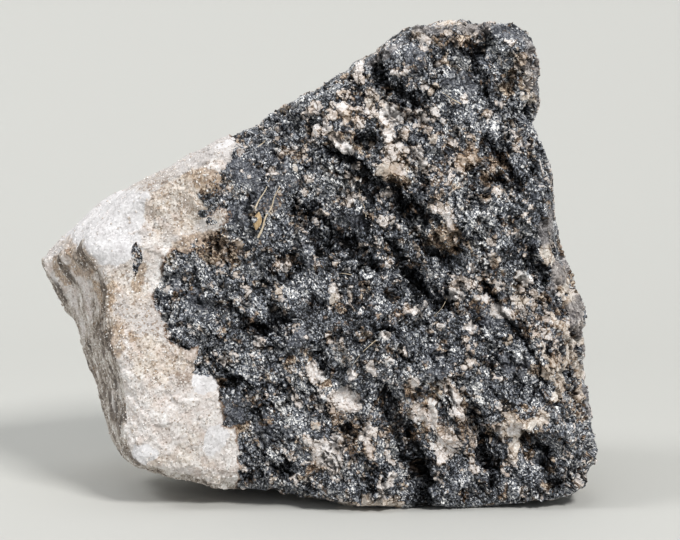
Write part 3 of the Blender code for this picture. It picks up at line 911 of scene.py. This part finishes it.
def dark_crystals(kit, place, at):
    """Colour of the black, grey, slate blue and rusted crystals, and 1 where they are rusted."""
    # Painted shade: the rock is darker near the hollows.
    hollow_shade = kit.step(mark(kit, "hollow"), -0.4, 0.5)
    level = at.fleck * 0.76 + at.small_tone * 0.22 + (at.tone - 0.5) * 0.32 + at.cloud * 0.32
    # The dark bands are darkened here with painted shade.
    level = level - gloom(kit, place) * 0.12 - hollow_shade * 0.16 - at.crack * 0.24 - at.seam * 0.26
    # The paler stretches: partly tone, partly painted light and shade.
    level = level + 0.20 + mark(kit, "paler") * 0.20
    slate_level = level * 0.45 + at.other_fleck * 0.30 + 0.13
    is_slate = kit.step(mark(kit, "slate") * 0.55 + at.kind * 0.42 + at.cloud * 0.8, 0.50, 0.58)
    rock, slate = ramp(kit, level, ROCK_AND_GLINT_STOPS), ramp(kit, slate_level, SLATE_STOPS)
    colour = blended(kit, is_slate * 0.8, rock, slate)
    rusty = mark(kit, "rust") * 0.5 + mark(kit, "warm") * 0.12 + at.small_kind * 0.3 + at.kind * 0.2
    is_brown = kit.step(rusty + kit.clouds(place, 4.0, 3.0) * 1.1, 0.38, 0.56)
    return blended(kit, is_brown * 0.75, colour, ramp(kit, level + 0.12, BROWN_STOPS)), is_brown


def pale_crystals(kit, at, bold, is_brown):
    """Colour of the cream and tan grains and of the bold white lumps."""
    level = at.fleck * 0.14 + at.small_tone * 0.26 + at.tone * 0.30 + at.cloud * 0.3
    level = level + mark(kit, "cream") * 0.4 - at.crack * 0.14 - at.seam * 0.40 + 0.13
    is_tan = kit.step(mark(kit, "tan") * 0.6 + at.kind * 0.5 + at.small_kind * 0.2, 0.62, 0.70)
    colour = blended(kit, is_tan, ramp(kit, level, CREAM_STOPS), ramp(kit, level, TAN_STOPS))
    colour = blended(kit, is_brown * 0.35, colour, RUSTED_CREAM)
    bold_level = at.fleck * 0.16 + at.small_tone * 0.22 + at.cloud * 0.5 - at.seam * 0.2 + 0.50
    return blended(kit, bold * (1 - is_brown * 0.3), colour, ramp(kit, bold_level, CREAM_STOPS))


def under_film(kit, place, at, colour):
    """The same colour under the grey film of the weathered rim."""
    film = mark(kit, "rim") * 0.7 + kit.clouds(place, 2.2, 4.0, 0.65) * 1.6
    level = at.fleck * 0.35 + at.small_tone * 0.3 + at.kind * 0.3 - at.crack * 0.2
    share = kit.step(film, 0.25, 0.55) * mark(kit, "rim") * 0.85
    return blended(kit, share, colour, ramp(kit, level, RIM_STOPS))


def dark_rock(kit, place):
    """Colour, random triple and cream share of the dark part."""
    at = crystals_at(kit, place)
    colour, is_brown = dark_crystals(kit, place, at)
    bold = kit.step(mark(kit, "bold") + kit.clouds(place, 1.2, 4.0, 0.7) * 1.4, 0.40, 0.55)
    is_cream = kit.maths("MAXIMUM", creaminess(kit, place, mark), bold)
    colour = blended(kit, is_cream, colour, pale_crystals(kit, at, bold, is_brown))
    return under_film(kit, place, at, colour), at.chance, is_cream


# %% Colours of the pale end
WHITE_STOPS = [
    (0.0, (0.30, 0.25, 0.22)), (0.16, (0.50, 0.445, 0.415)), (0.40, (0.66, 0.61, 0.585)),
    (0.70, (0.76, 0.725, 0.705)), (1.0, (0.90, 0.885, 0.87)),
]
TAWNY_STOPS = [
    (0.0, (0.24, 0.17, 0.12)), (0.20, (0.46, 0.375, 0.30)), (0.50, (0.655, 0.585, 0.52)),
    (1.0, (0.83, 0.785, 0.735)),
]
# The side: its streaks, and painted shade where it turns away from the light.
SIDE_STREAK_AND_SHADE_STOPS = [
    (0.0, (0.09, 0.07, 0.056)), (0.30, (0.22, 0.18, 0.145)), (0.55, (0.42, 0.37, 0.32)),
    (0.80, (0.62, 0.575, 0.53)), (1.0, (0.80, 0.78, 0.755)),
]
# The top: a grey film that is partly its grey-lilac tone, partly painted shade.
VEIL_AND_SHADE_STOPS = [
    (0.0, (0.16, 0.145, 0.135)), (0.35, (0.38, 0.355, 0.345)), (0.65, (0.52, 0.495, 0.485)),
    (1.0, (0.70, 0.68, 0.67)),
]
QUARTZ_STOPS = [
    (0.25, (0.60, 0.575, 0.58)), (0.55, (0.745, 0.73, 0.74)), (1.0, (0.86, 0.85, 0.865)),
]
STAIN_STOPS = [
    (0.0, (0.12, 0.07, 0.035)), (0.5, (0.34, 0.22, 0.125)), (1.0, (0.55, 0.43, 0.31)),
]
SPECK_STOPS = [(0.0, (0.05, 0.03, 0.018)), (0.6, (0.20, 0.12, 0.06)), (1.0, (0.34, 0.22, 0.12))]
BLUSH = (0.53, 0.42, 0.36)
INCLUSION_HALO = (0.22, 0.13, 0.06)
SUGAR_SIZE, FLAKE_SIZE, LUMP_SIZE = 0.42, 0.8, 1.7
RIDGE_TURN = math.radians(17)
STREAK_SQUEEZE, LINE_SQUEEZE = (0.14, 1.0, 1.0), (0.06, 1.0, 1.0)


# %% The pale end
def dots(kit, place, size, reach):
    """Small round specks of uneven size. A reach of 1 leaves almost none out."""
    cell = kit.cells(place, size)
    chance = kit.parts(cell)[0]
    radius = kit.step(chance, 1.0 - reach, 1.4 - reach) * 0.5
    return kit.step(cell.out("Distance"), radius, radius * 0.5)


def sugary(kit, place, chance, quartz):
    """Colour of the granular break, with its white quartz, its blush and its stains."""
    lump, other_lump, _ = kit.parts(kit.cells(wandered(kit, place, 1.4, 1.2), LUMP_SIZE))
    flake = kit.parts(kit.cells(wandered(kit, place, 0.6, 0.5), FLAKE_SIZE))[0]
    level = chance * 0.34 + lump * 0.16 + flake * 0.32 + kit.clouds(place, 5.0, 4.0, 0.6) * 0.65
    # The paler stretches: partly tone, partly painted light and shade.
    level = level + mark(kit, "paler") * 0.30 + 0.12
    tawny = mark(kit, "speckled") * 0.35 + other_lump * 0.25 + kit.clouds(place, 9.0, 3.0) * 1.2
    white, brownish = ramp(kit, level, WHITE_STOPS), ramp(kit, level, TAWNY_STOPS)
    colour = blended(kit, kit.step(tawny, 0.12, 0.50), white, brownish)
    clear = ramp(kit, kit.noise(place, 3.0, 3.0) * 0.8 + chance * 0.2, QUARTZ_STOPS)
    colour = blended(kit, quartz * 0.92, colour, clear)
    blush = kit.step(kit.noise(place, 3.2, 4.0, 0.6), 0.46, 0.66) * (1 - quartz)
    colour = blended(kit, blush * 0.45, colour, BLUSH)
    stain = kit.step(mark(kit, "stain") + kit.clouds(place, 2.6, 4.0, 0.65) * 2.0, 0.35, 0.85)
    return blended(kit, stain * 0.7, colour, ramp(kit, chance, STAIN_STOPS))


def streaked(kit, place, chance, quartz, colour):
    """The colour streaked along the foliation on the side, greyed on the top: partly painted shade."""
    turning = {"Vector": place, "Angle": RIDGE_TURN}
    turned = kit.node("ShaderNodeVectorRotate", {"rotation_type": "Z_AXIS"}, turning)
    streak = kit.noise(kit.vector("MULTIPLY", turned, STREAK_SQUEEZE), 1.6, 6.0, 0.8)
    line = kit.maths("ABSOLUTE", kit.clouds(kit.vector("MULTIPLY", turned, LINE_SQUEEZE), 2.6, 3.0, 0.6))
    level = streak * 3.6 - 1.40 + chance * 0.25 + kit.clouds(place, 8.0) * 1.8
    level = level - mark(kit, "stain") * 0.30 - kit.step(line, 0.03, 0.0) * 0.45
    # The side is darker than the front: its streaks, and painted shade where it turns from the light.
    on_side = kit.step(mark(kit, "side"), 0.35, 0.8)
    colour = blended(kit, on_side * 0.9, colour, ramp(kit, level, SIDE_STREAK_AND_SHADE_STOPS))
    # Faces that look up get a grey film: partly their tone, partly painted shade against the top light.
    veil_and_shade = kit.step(mark(kit, "top") + kit.clouds(place, 3.0, 4.0, 0.6) * 1.2, 0.3, 0.9)
    veil_and_shade_colour = ramp(kit, streak * 1.6 - 0.4 + chance * 0.2, VEIL_AND_SHADE_STOPS)
    return blended(kit, veil_and_shade * (0.75 - quartz * 0.45), colour, veil_and_shade_colour)


def pale_matrix(kit, place, dark):
    """Colour and random triple of the pale end."""
    sugar = kit.cells(place, SUGAR_SIZE)
    chance, other_chance, _ = kit.parts(sugar)
    quartz = kit.step(mark(kit, "quartz") + kit.clouds(place, 4.0, 3.0), 0.3, 0.7)
    colour = streaked(kit, place, chance, quartz, sugary(kit, place, chance, quartz))
    dotted = mark(kit, "speckled") * 0.5 + kit.noise(place, 5.0, 2.0) * 0.6 - quartz * 0.8
    fine_specks = dots(kit, wandered(kit, place, 0.4, 0.9), 0.6, dotted + 0.06)
    wide_specks = dots(kit, wandered(kit, place, 0.5, 1.5), 1.3, dotted - 0.10)
    speck = kit.maths("MAXIMUM", fine_specks, wide_specks)
    colour = blended(kit, speck * 0.68, colour, ramp(kit, other_chance, SPECK_STOPS))
    inclusion = kit.step(mark(kit, "inclusion") + kit.clouds(place, 1.3, 3.0) * 0.8, 0.45, 0.7)
    colour = blended(kit, kit.step(inclusion, 0.0, 0.5) * 0.6, colour, INCLUSION_HALO)
    return blended(kit, kit.step(inclusion, 0.4, 0.9), colour, dark), sugar


# %% The stone's own finish
RUST_SEAM = (0.20, 0.105, 0.045)
# A black diffuse finish, mixed into the hollows and gaps as painted shade.
HOLLOW_PAINTED_SHADE = (0.002, 0.002, 0.002, 1.0)


def stone_finish():
    """Dark rock, pale end, a rusty seam where they meet, and painted shade in the hollows and gaps."""
    kit, material = new_finish("hackly_rock_and_matrix")
    place = kit.node("ShaderNodeAttribute", {"attribute_name": "before"}, None, "Vector")
    dark, dark_chance, is_cream = dark_rock(kit, place)
    pale, pale_chance = pale_matrix(kit, place, dark)
    edge = kit.clouds(place, 2.4, 5.0, 0.7) * (3.6 + mark(kit, "mingled") * 9.0)
    edge = mark(kit, "matrix") + edge
    in_matrix = kit.step(edge, -0.2, 0.2)
    colour = blended(kit, in_matrix, dark, pale)
    seam = kit.step(kit.maths("ABSOLUTE", edge), 0.5, 0.1)
    seam = seam * kit.step(kit.noise(place, 5.0, 2.0), 0.46, 0.58)
    matt = kit.maths("MAXIMUM", in_matrix, is_cream)
    smooth = mark(kit, "slate") * (1 - matt) * 0.5
    chance = blended(kit, in_matrix, dark_chance, pale_chance)
    rock = kit.node("ShaderNodeBsdfPrincipled", None, {
        "Base Color": blended(kit, seam * 0.7, colour, RUST_SEAM),
        "Roughness": 0.32 + matt * 0.4,
        "Normal": tilted(kit, chance, 1.3 - matt * 0.85 - smooth),
        "Specular IOR Level": 0.4,
    })
    # Painted shade: the hollows and gaps turn to a black diffuse finish.
    shadow = kit.node("ShaderNodeBsdfDiffuse", None, {"Color": HOLLOW_PAINTED_SHADE})
    depth = mark(kit, "deep") * (1 - in_matrix) * 0.85
    surface = kit.node("ShaderNodeMixShader", None, {0: depth, 1: rock, 2: shadow})
    kit.node("ShaderNodeOutputMaterial", None, {"Surface": surface})
    return material


# %% The dressed stone
stone = object_of("antigorite_stone", skin)
skin.name = "antigorite_stone"
skin.materials.clear()
skin.materials.append(stone_finish())
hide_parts("stone")
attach(stone, "root")
print("stone:", triangle_count(skin), "triangles")

# %% [markdown]
# ## Blades and grains
#
# What makes the rock glint is that its crystals stand proud of each other. Painting them isn't enough:
# each catches the light by its own shape. Geometry nodes strew small crystals over the surface, one kind
# at a time. Blades and flakes lie along the grain of the stone, and the rest anyhow. Each is tipped at
# random and has its own size and shade.

# %% Strewing tree
def strewn_tree(name, shape, inputs):
    """Strews crystals over the skin where a zone allows it."""
    kit, start = new_tree(name, inputs)
    get = start.out
    points = kit.node("GeometryNodeDistributePointsOnFaces", None, {
        "Mesh": start, "Density": get("Per square mm") * 1e6 * shape["where"](kit), "Seed": get("Seed"),
    })
    turn = points.out("Rotation")
    turn = kit.node("FunctionNodeAlignRotationToVector", {"axis": "X", "pivot_axis": "Z"}, {
        "Rotation": turn, "Vector": tuple(GRAIN_ALONG),
    }) if shape["along_grain"] else turn
    tip = kit.node("FunctionNodeRandomValue", {"data_type": "FLOAT_VECTOR"}, {
        0: tuple(-value for value in shape["tip"]), 1: shape["tip"], "Seed": get("Seed") + 1,
    })
    turn = kit.node("FunctionNodeRotateRotation", {"rotation_space": "LOCAL"}, {
        "Rotation": turn, "Rotate By": kit.node("FunctionNodeEulerToRotation", None, {0: tip}),
    })
    size = kit.node("FunctionNodeRandomValue", {"data_type": "FLOAT_VECTOR"}, {
        0: shape["least"], 1: shape["most"], "Seed": get("Seed") + 2,
    })
    bigger = kit.node("FunctionNodeRandomValue", {"data_type": "FLOAT"}, {
        2: 0.6, 3: 1.5, "Seed": get("Seed") + 3,
    }, 1)
    grains = kit.node("GeometryNodeInstanceOnPoints", None, {
        "Points": points, "Instance": shape["form"](kit), "Rotation": turn,
        "Scale": kit.scaled(kit.scaled(size, bigger), MM),
    })
    chance = kit.node("FunctionNodeRandomValue", {"data_type": "FLOAT"}, {"Seed": get("Seed") + 4}, 1)
    grains = kit.node("GeometryNodeStoreNamedAttribute", {"data_type": "FLOAT", "domain": "INSTANCE"}, {
        "Geometry": grains, "Name": "shade", "Value": chance,
    })
    whole = kit.node("GeometryNodeRealizeInstances", None, {0: grains})
    whole = kit.node("GeometryNodeSetMaterial", None, {0: whole, "Material": shape["material"]})
    kit.node("NodeGroupOutput", None, {0: whole})
    return kit.tree


def splinter(kit):
    """A three-sided splinter, a unit long."""
    cone = kit.node("GeometryNodeMeshCone", {"fill_type": "NGON"}, {
        "Vertices": 3, "Radius Top": 0.22, "Radius Bottom": 0.5, "Depth": 1.0,
    })
    return kit.node("GeometryNodeTransform", None, {
        "Geometry": cone, "Translation": (-0.5, 0.0, 0.0), "Rotation": (0.0, math.pi / 2, 0.0),
    })


def block(kit):
    """A cleavage block."""
    return kit.node("GeometryNodeMeshCube", None, {"Size": (1.0, 1.0, 1.0)})


def pebble(kit):
    """An irregular rounded grain of twenty faces."""
    ball = kit.node("GeometryNodeMeshIcoSphere", None, {"Radius": 0.5, "Subdivisions": 1})
    shift = kit.node("ShaderNodeTexNoise", None, {"Scale": 2.3}, "Color")
    return kit.node("GeometryNodeSetPosition", None, {
        "Geometry": ball, "Offset": kit.scaled(kit.off_middle(shift), 0.9),
    })


# %% Finishes of the grains
def grain_finish(name, stops, roughness):
    """A finish whose shade is drawn once for each grain."""
    kit, material = new_finish(name)
    place = stone_place(kit, kit.node("ShaderNodeTexCoord", None, None, "Object"))
    fleck = kit.cells(place, 0.3)
    value = mark(kit, "shade") * 0.75 + kit.parts(fleck)[0] * 0.25
    end_finish(kit, {
        "Base Color": ramp(kit, value, stops), "Roughness": roughness,
        "Normal": tilted(kit, fleck, 0.35), "Specular IOR Level": 0.4,
    })
    return material


BLADE_STOPS = [
    (0.0, (0.002, 0.002, 0.003)), (0.55, (0.010, 0.011, 0.013)), (0.85, (0.04, 0.042, 0.05)),
    (1.0, (0.12, 0.125, 0.14)),
]
FLAKE_STOPS = [
    (0.0, (0.005, 0.005, 0.006)), (0.35, (0.03, 0.032, 0.038)), (0.6, (0.13, 0.135, 0.15)),
    (0.8, (0.40, 0.405, 0.42)), (1.0, (0.88, 0.87, 0.85)),
]
LUMP_STOPS = [
    (0.0, (0.10, 0.06, 0.035)), (0.22, (0.37, 0.29, 0.22)), (0.5, (0.63, 0.56, 0.505)),
    (1.0, (0.88, 0.85, 0.82)),
]
SUGAR_STOPS = [
    (0.0, (0.38, 0.31, 0.25)), (0.25, (0.60, 0.54, 0.49)), (0.65, (0.74, 0.70, 0.67)),
    (1.0, (0.90, 0.88, 0.86)),
]


# %% Strewing
def off_the_floor(kit):
    return kit.step(zone(kit, "ground"), 0.8, 1.0)


def more_in_front(kit):
    """Few on the flanks, where they would break the outline, and few on the smooth patches."""
    smooth = kit.maths("MAXIMUM", zone(kit, "slate") * 0.6, zone(kit, "rim") * 0.9)
    return (0.25 + zone(kit, "front") * zone(kit, "fine") * 0.75) * (1 - smooth)


def old_place(kit):
    """Where the surface was before the relief, as the finishes read it."""
    settings = {"data_type": "FLOAT_VECTOR"}
    return kit.node("GeometryNodeInputNamedAttribute", settings, {"Name": "before"})


def dark_not_deep(kit):
    """On the dark rock, out of its hollows and off the floor."""
    dark = kit.step(zone(kit, "matrix"), 0.0, -0.8)
    return dark * (1 - zone(kit, "deep")) * off_the_floor(kit)


def in_gloom(kit):
    """Where the black blades grow: most in the dark bands."""
    place = old_place(kit)
    share = 0.3 + gloom(kit, place) * 0.7
    return dark_not_deep(kit) * more_in_front(kit) * share * (1 - creaminess(kit, place, zone))


def in_glitter(kit):
    """Where the grey flakes grow: in clouds between the dark bands."""
    place = old_place(kit)
    share = kit.step(kit.noise(place, 3.5, 2.0), 0.44, 0.60) * (1 - gloom(kit, place) * 0.7)
    return dark_not_deep(kit) * more_in_front(kit) * share * (1 - creaminess(kit, place, zone))


def in_cream(kit):
    return creaminess(kit, old_place(kit), zone) * dark_not_deep(kit) * more_in_front(kit)


def in_pale_end(kit):
    """Where the sugary grains grow: not on the clear quartz."""
    rough = kit.step(zone(kit, "matrix"), 0.0, 0.8) * (1 - zone(kit, "quartz") * 0.8)
    return rough * more_in_front(kit) * off_the_floor(kit)


STREWN = {
    "black_blades": {
        "form": splinter, "along_grain": True, "where": in_gloom, "tip": (3.1, 0.15, 1.2),
        "least": (0.35, 0.14, 0.12), "most": (0.9, 0.30, 0.24), "per": 0.6, "seed": 11,
        "material": grain_finish("black_blade", BLADE_STOPS, 0.3),
    },
    "grey_flakes": {
        "form": block, "along_grain": True, "where": in_glitter, "tip": (0.5, 0.4, 1.6),
        "least": (0.12, 0.10, 0.08), "most": (0.40, 0.30, 0.18), "per": 2.0, "seed": 23,
        "material": grain_finish("grey_flake", FLAKE_STOPS, 0.35),
    },
    "cream_grains": {
        "form": pebble, "along_grain": False, "where": in_cream, "tip": (3.1, 3.1, 3.1),
        "least": (0.22, 0.18, 0.16), "most": (0.6, 0.48, 0.36), "per": 0.7, "seed": 37,
        "material": grain_finish("cream_grain", LUMP_STOPS, 0.6),
    },
    "sugar_grains": {
        "form": block, "along_grain": False, "where": in_pale_end, "tip": (3.1, 3.1, 3.1),
        "least": (0.18, 0.16, 0.14), "most": (0.42, 0.36, 0.3), "per": 0.8, "seed": 51,
        "material": grain_finish("sugar_grain", SUGAR_STOPS, 0.5),
    },
}


def strew(name, shape):
    """Makes one kind of crystal as a plain mesh piece."""
    inputs = {"Per square mm": shape["per"], "Seed": shape["seed"]}
    mesh = run_tree(skin.copy(), strewn_tree(name, shape, inputs), inputs)
    mesh.name = name
    piece = object_of(name, mesh)
    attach(piece, "root")
    print(name, triangle_count(mesh), "triangles")


for name, shape in STREWN.items():
    strew(name, shape)

# %% [markdown]
# ## Bits of straw
#
# A few dry fibres and one seed husk lie on the rough front. They are found again on the new surface by
# looking along the camera's line through each place of the picture. A fibre is stiff, so it doesn't
# follow every pit: it runs straight in depth, just clear of the highest crystal under it.

# %% Straw and husk
# Radius in millimetres, and places in the picture
STRAWS = {
    "short": (0.16, [(270, 178), (266, 190), (259, 200), (255, 209)]),
    "long": (0.22, [(280, 187), (274, 197), (272, 208), (265, 217), (263, 228), (258, 238)]),
    "curled": (0.09, [(262, 129), (267, 134), (265, 142), (258, 147)]),
    "thin": (0.08, [(359, 189), (361, 199), (365, 208), (366, 217)]),
    "level": (0.08, [(331, 274), (342, 273), (352, 275)]),
    "stray": (0.07, [(432, 318), (442, 308), (447, 298)]),
    "stub": (0.12, [(442, 92), (452, 99), (461, 104)]),
    "low": (0.08, [(352, 366), (362, 352), (376, 340)]),
}
HUSK_ENDS = ((259, 212), (256, 230))
HUSK_WIDTH, HUSK_THICKNESS = 0.95, 0.45
TUBE_SIDES = 6


def straw_finish(name, dark, light):
    kit, material = new_finish(name)
    place = kit.scaled(kit.node("ShaderNodeTexCoord", None, None, "Object"), 1 / MM)
    streaks = kit.noise(kit.vector("MULTIPLY", place, (3.0, 3.0, 0.6)), 0.8, 3.0)
    end_finish(kit, {
        "Base Color": ramp(kit, streaks, [(0.3, dark), (0.7, light)]),
        "Roughness": 0.6,
    })
    return material


def resting_line(tree, places, lift):
    """Points of the face frame along a stiff fibre that rests on the surface."""
    eye = Vector(from_face(SIGHT_U, SIGHT_V, SIGHT_DISTANCE))
    hits = []
    for column, row in places:
        u = SIGHT_U + (column - PICTURE[0] / 2) * PIXEL
        v = SIGHT_V - (row - PICTURE[1] / 2) * PIXEL
        hit = tree.ray_cast(eye, Vector(from_face(u, v, 0.0)) - eye)[0]
        if hit is not None:
            hits.append([float(value) for value in to_face(np.array(hit))])
    hits = np.array(hits)
    run = np.linspace(0.0, 1.0, len(hits))
    slope, start = np.polyfit(run, hits[:, 2], 1)
    straight = start + slope * run
    hits[:, 2] = straight + (hits[:, 2] - straight).max() * 0.7 + lift
    return hits


def rounded(points, rounds=2):
    """The same line with its corners cut."""
    for _ in range(rounds):
        near, far = points[:-1], points[1:]
        cuts = np.stack([near * 0.75 + far * 0.25, near * 0.25 + far * 0.75], axis=1).reshape(-1, 3)
        points = np.array([points[0], *cuts[1:-1], points[-1]])
    return points


def add_tube(bm, points, widths, thicknesses):
    """A closed tube of the face frame, flatter than it is wide."""
    rings = []
    for index, point in enumerate(points):
        before, after = points[max(index - 1, 0)], points[min(index + 1, len(points) - 1)]
        ahead = (after - before) / np.linalg.norm(after - before)
        side = np.cross(ahead, (0.0, 0.0, 1.0))
        up = np.cross(side, ahead)
        ring = []
        for corner in range(TUBE_SIDES):
            turn = math.tau * corner / TUBE_SIDES
            across, above = widths[index] * math.cos(turn), thicknesses[index] * math.sin(turn)
            ring.append(bm.verts.new(from_face(*(point + side * across + up * above))))
        rings.append(ring)
    for near, far in zip(rings, rings[1:]):
        for corner in range(TUBE_SIDES):
            after = (corner + 1) % TUBE_SIDES
            bm.faces.new((near[corner], near[after], far[after], far[corner]))
    bm.faces.new(rings[0])
    bm.faces.new(rings[-1])


def tube_piece(name, tubes, finish):
    """One mesh piece of closed tubes."""
    bm = bmesh.new()
    for tube in tubes:
        add_tube(bm, *tube)
    bmesh.ops.recalc_face_normals(bm, faces=bm.faces[:])
    mesh = bpy.data.meshes.new(name)
    bm.to_mesh(mesh)
    bm.free()
    mesh.materials.append(finish)
    piece = object_of(name, mesh)
    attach(piece, "root")
    return piece


def fibre(tree, radius, places):
    """A fibre that tapers to its first end."""
    points = rounded(resting_line(tree, places, radius))
    widths = radius * np.linspace(0.35, 1.1, len(points))
    return points, widths, widths * 0.7


def husk(tree):
    """A seed husk, pointed at both ends."""
    points = resting_line(tree, HUSK_ENDS, HUSK_THICKNESS)
    run = np.linspace(0.0, 1.0, 11)[:, None]
    swell = np.clip(np.sin(math.pi * run[:, 0]), 0.06, 1.0) ** 0.8
    return points[0] + (points[1] - points[0]) * run, HUSK_WIDTH * swell, HUSK_THICKNESS * swell


front_tree = BVHTree.FromPolygons([Vector(point) for point in numbers_of(skin)],
                                  [tuple(face.vertices) for face in skin.polygons])
pale_straw = straw_finish("dry_straw", (0.38, 0.29, 0.19), (0.74, 0.65, 0.50))
tan_husk = straw_finish("husk_skin", (0.34, 0.21, 0.09), (0.66, 0.50, 0.30))
straws = tube_piece("straw_fibres", [fibre(front_tree, *entry) for entry in STRAWS.values()], pale_straw)
husk_piece = tube_piece("seed_husk", [husk(front_tree)], tan_husk)
print("straw:", triangle_count(straws.data), "triangles, husk:", triangle_count(husk_piece.data))

# %% [markdown]
# ## The studio
#
# A plain pale sheet lies under the stone and sweeps up behind it. Its back is clear, so that the stone
# can be looked at from behind too. The key light is soft and stands high in front on the right. A cool
# one above and a weak one on the left lift the shadows, and the last one lights the wall. The camera
# looks straight at the broken face.

# %% Studio
SWEEP_HALF_WIDTH = 1.6
SWEEP_FRONT, SWEEP_TURN, SWEEP_RADIUS, SWEEP_TOP = -1.2, 0.16, 0.35, 1.6
SWEEP_STEPS = 24
WALL_COLOUR = (0.50, 0.497, 0.474, 1.0)
AIR_COLOUR, AIR_STRENGTH = (0.9, 0.95, 1.0, 1.0), 0.30
# Place and aim in metres, width and height, power in watts, colour
LIGHTS = {
    "key_light": ((0.55, -0.75, 0.95), (0, 0, 0.05), (0.35, 0.3), 15.0, (1.0, 0.99, 0.97)),
    "top_light": ((-0.1, 0.1, 1.2), (0, 0, 0.05), (0.9, 0.5), 3.0, (0.95, 0.98, 1.0)),
    "fill_light": ((-0.9, -0.9, 0.5), (0, 0, 0.05), (0.8, 0.8), 1.2, (1.0, 1.0, 1.0)),
    "wall_light": ((-0.75, -0.1, 0.9), (-0.35, 0.5, 0.25), (0.4, 0.4), 5.4, (1.0, 1.0, 1.0)),
}


def sweep_profile():
    """Points of the sheet from the front of the floor to the top of the wall."""
    points = [(SWEEP_FRONT, 0.0), (SWEEP_TURN, 0.0)]
    for index in range(1, SWEEP_STEPS + 1):
        turn = math.pi / 2 * index / SWEEP_STEPS
        reach, rise = SWEEP_RADIUS * math.sin(turn), SWEEP_RADIUS * (1 - math.cos(turn))
        points.append((SWEEP_TURN + reach, rise))
    return points + [(SWEEP_TURN + SWEEP_RADIUS, SWEEP_TOP)]


def make_sweep():
    """The sheet, which shows its front only."""
    profile = sweep_profile()
    corners = [(side * SWEEP_HALF_WIDTH, y, z) for y, z in profile for side in (-1, 1)]
    faces = [(2 * i, 2 * i + 1, 2 * i + 3, 2 * i + 2) for i in range(len(profile) - 1)]
    mesh = bpy.data.meshes.new("studio_sheet")
    mesh.from_pydata(corners, [], faces)
    mesh.shade_smooth()
    kit, material = new_finish("pale_sheet")
    sheet = kit.node("ShaderNodeBsdfPrincipled", None, {"Base Color": WALL_COLOUR, "Roughness": 0.9})
    behind = kit.node("ShaderNodeNewGeometry", None, None, "Backfacing")
    clear = kit.node("ShaderNodeBsdfTransparent")
    surface = kit.node("ShaderNodeMixShader", None, {0: behind, 1: sheet, 2: clear})
    kit.node("ShaderNodeOutputMaterial", None, {"Surface": surface})
    mesh.materials.append(material)
    object_of("studio_sheet", mesh)


def add_light(name, place, aim, size, power, colour):
    lamp = bpy.data.lights.new(name, "AREA")
    lamp.shape = "RECTANGLE"
    lamp.size, lamp.size_y = size
    lamp.energy = power
    lamp.color = colour
    holder = object_of(name, lamp)
    holder.location = place
    holder.rotation_euler = (Vector(aim) - Vector(place)).to_track_quat("-Z", "Y").to_euler()


def add_camera():
    """A camera whose frame is as wide as the picture at the broken face."""
    camera = bpy.data.cameras.new("front_camera")
    camera.lens = camera.sensor_width * SIGHT_DISTANCE / (PICTURE[0] * PIXEL)
    camera.clip_start = 0.01
    holder = object_of("front_camera", camera)
    holder.location = from_face(SIGHT_U, SIGHT_V, SIGHT_DISTANCE)
    holder.rotation_euler = (math.pi / 2 - LEAN, 0.0, 0.0)
    bpy.context.scene.camera = holder


def fill_air():
    """Faint light from all round."""
    world = bpy.data.worlds.new("studio_air")
    world.use_nodes = True
    background = world.node_tree.nodes["Background"]
    background.inputs["Color"].default_value = AIR_COLOUR
    background.inputs["Strength"].default_value = AIR_STRENGTH
    bpy.context.scene.world = world


make_sweep()
for name, light in LIGHTS.items():
    add_light(name, *light)
add_camera()
fill_air()
bpy.context.scene.view_settings.view_transform = "Standard"
print("studio ready:", len(LIGHTS), "lights")
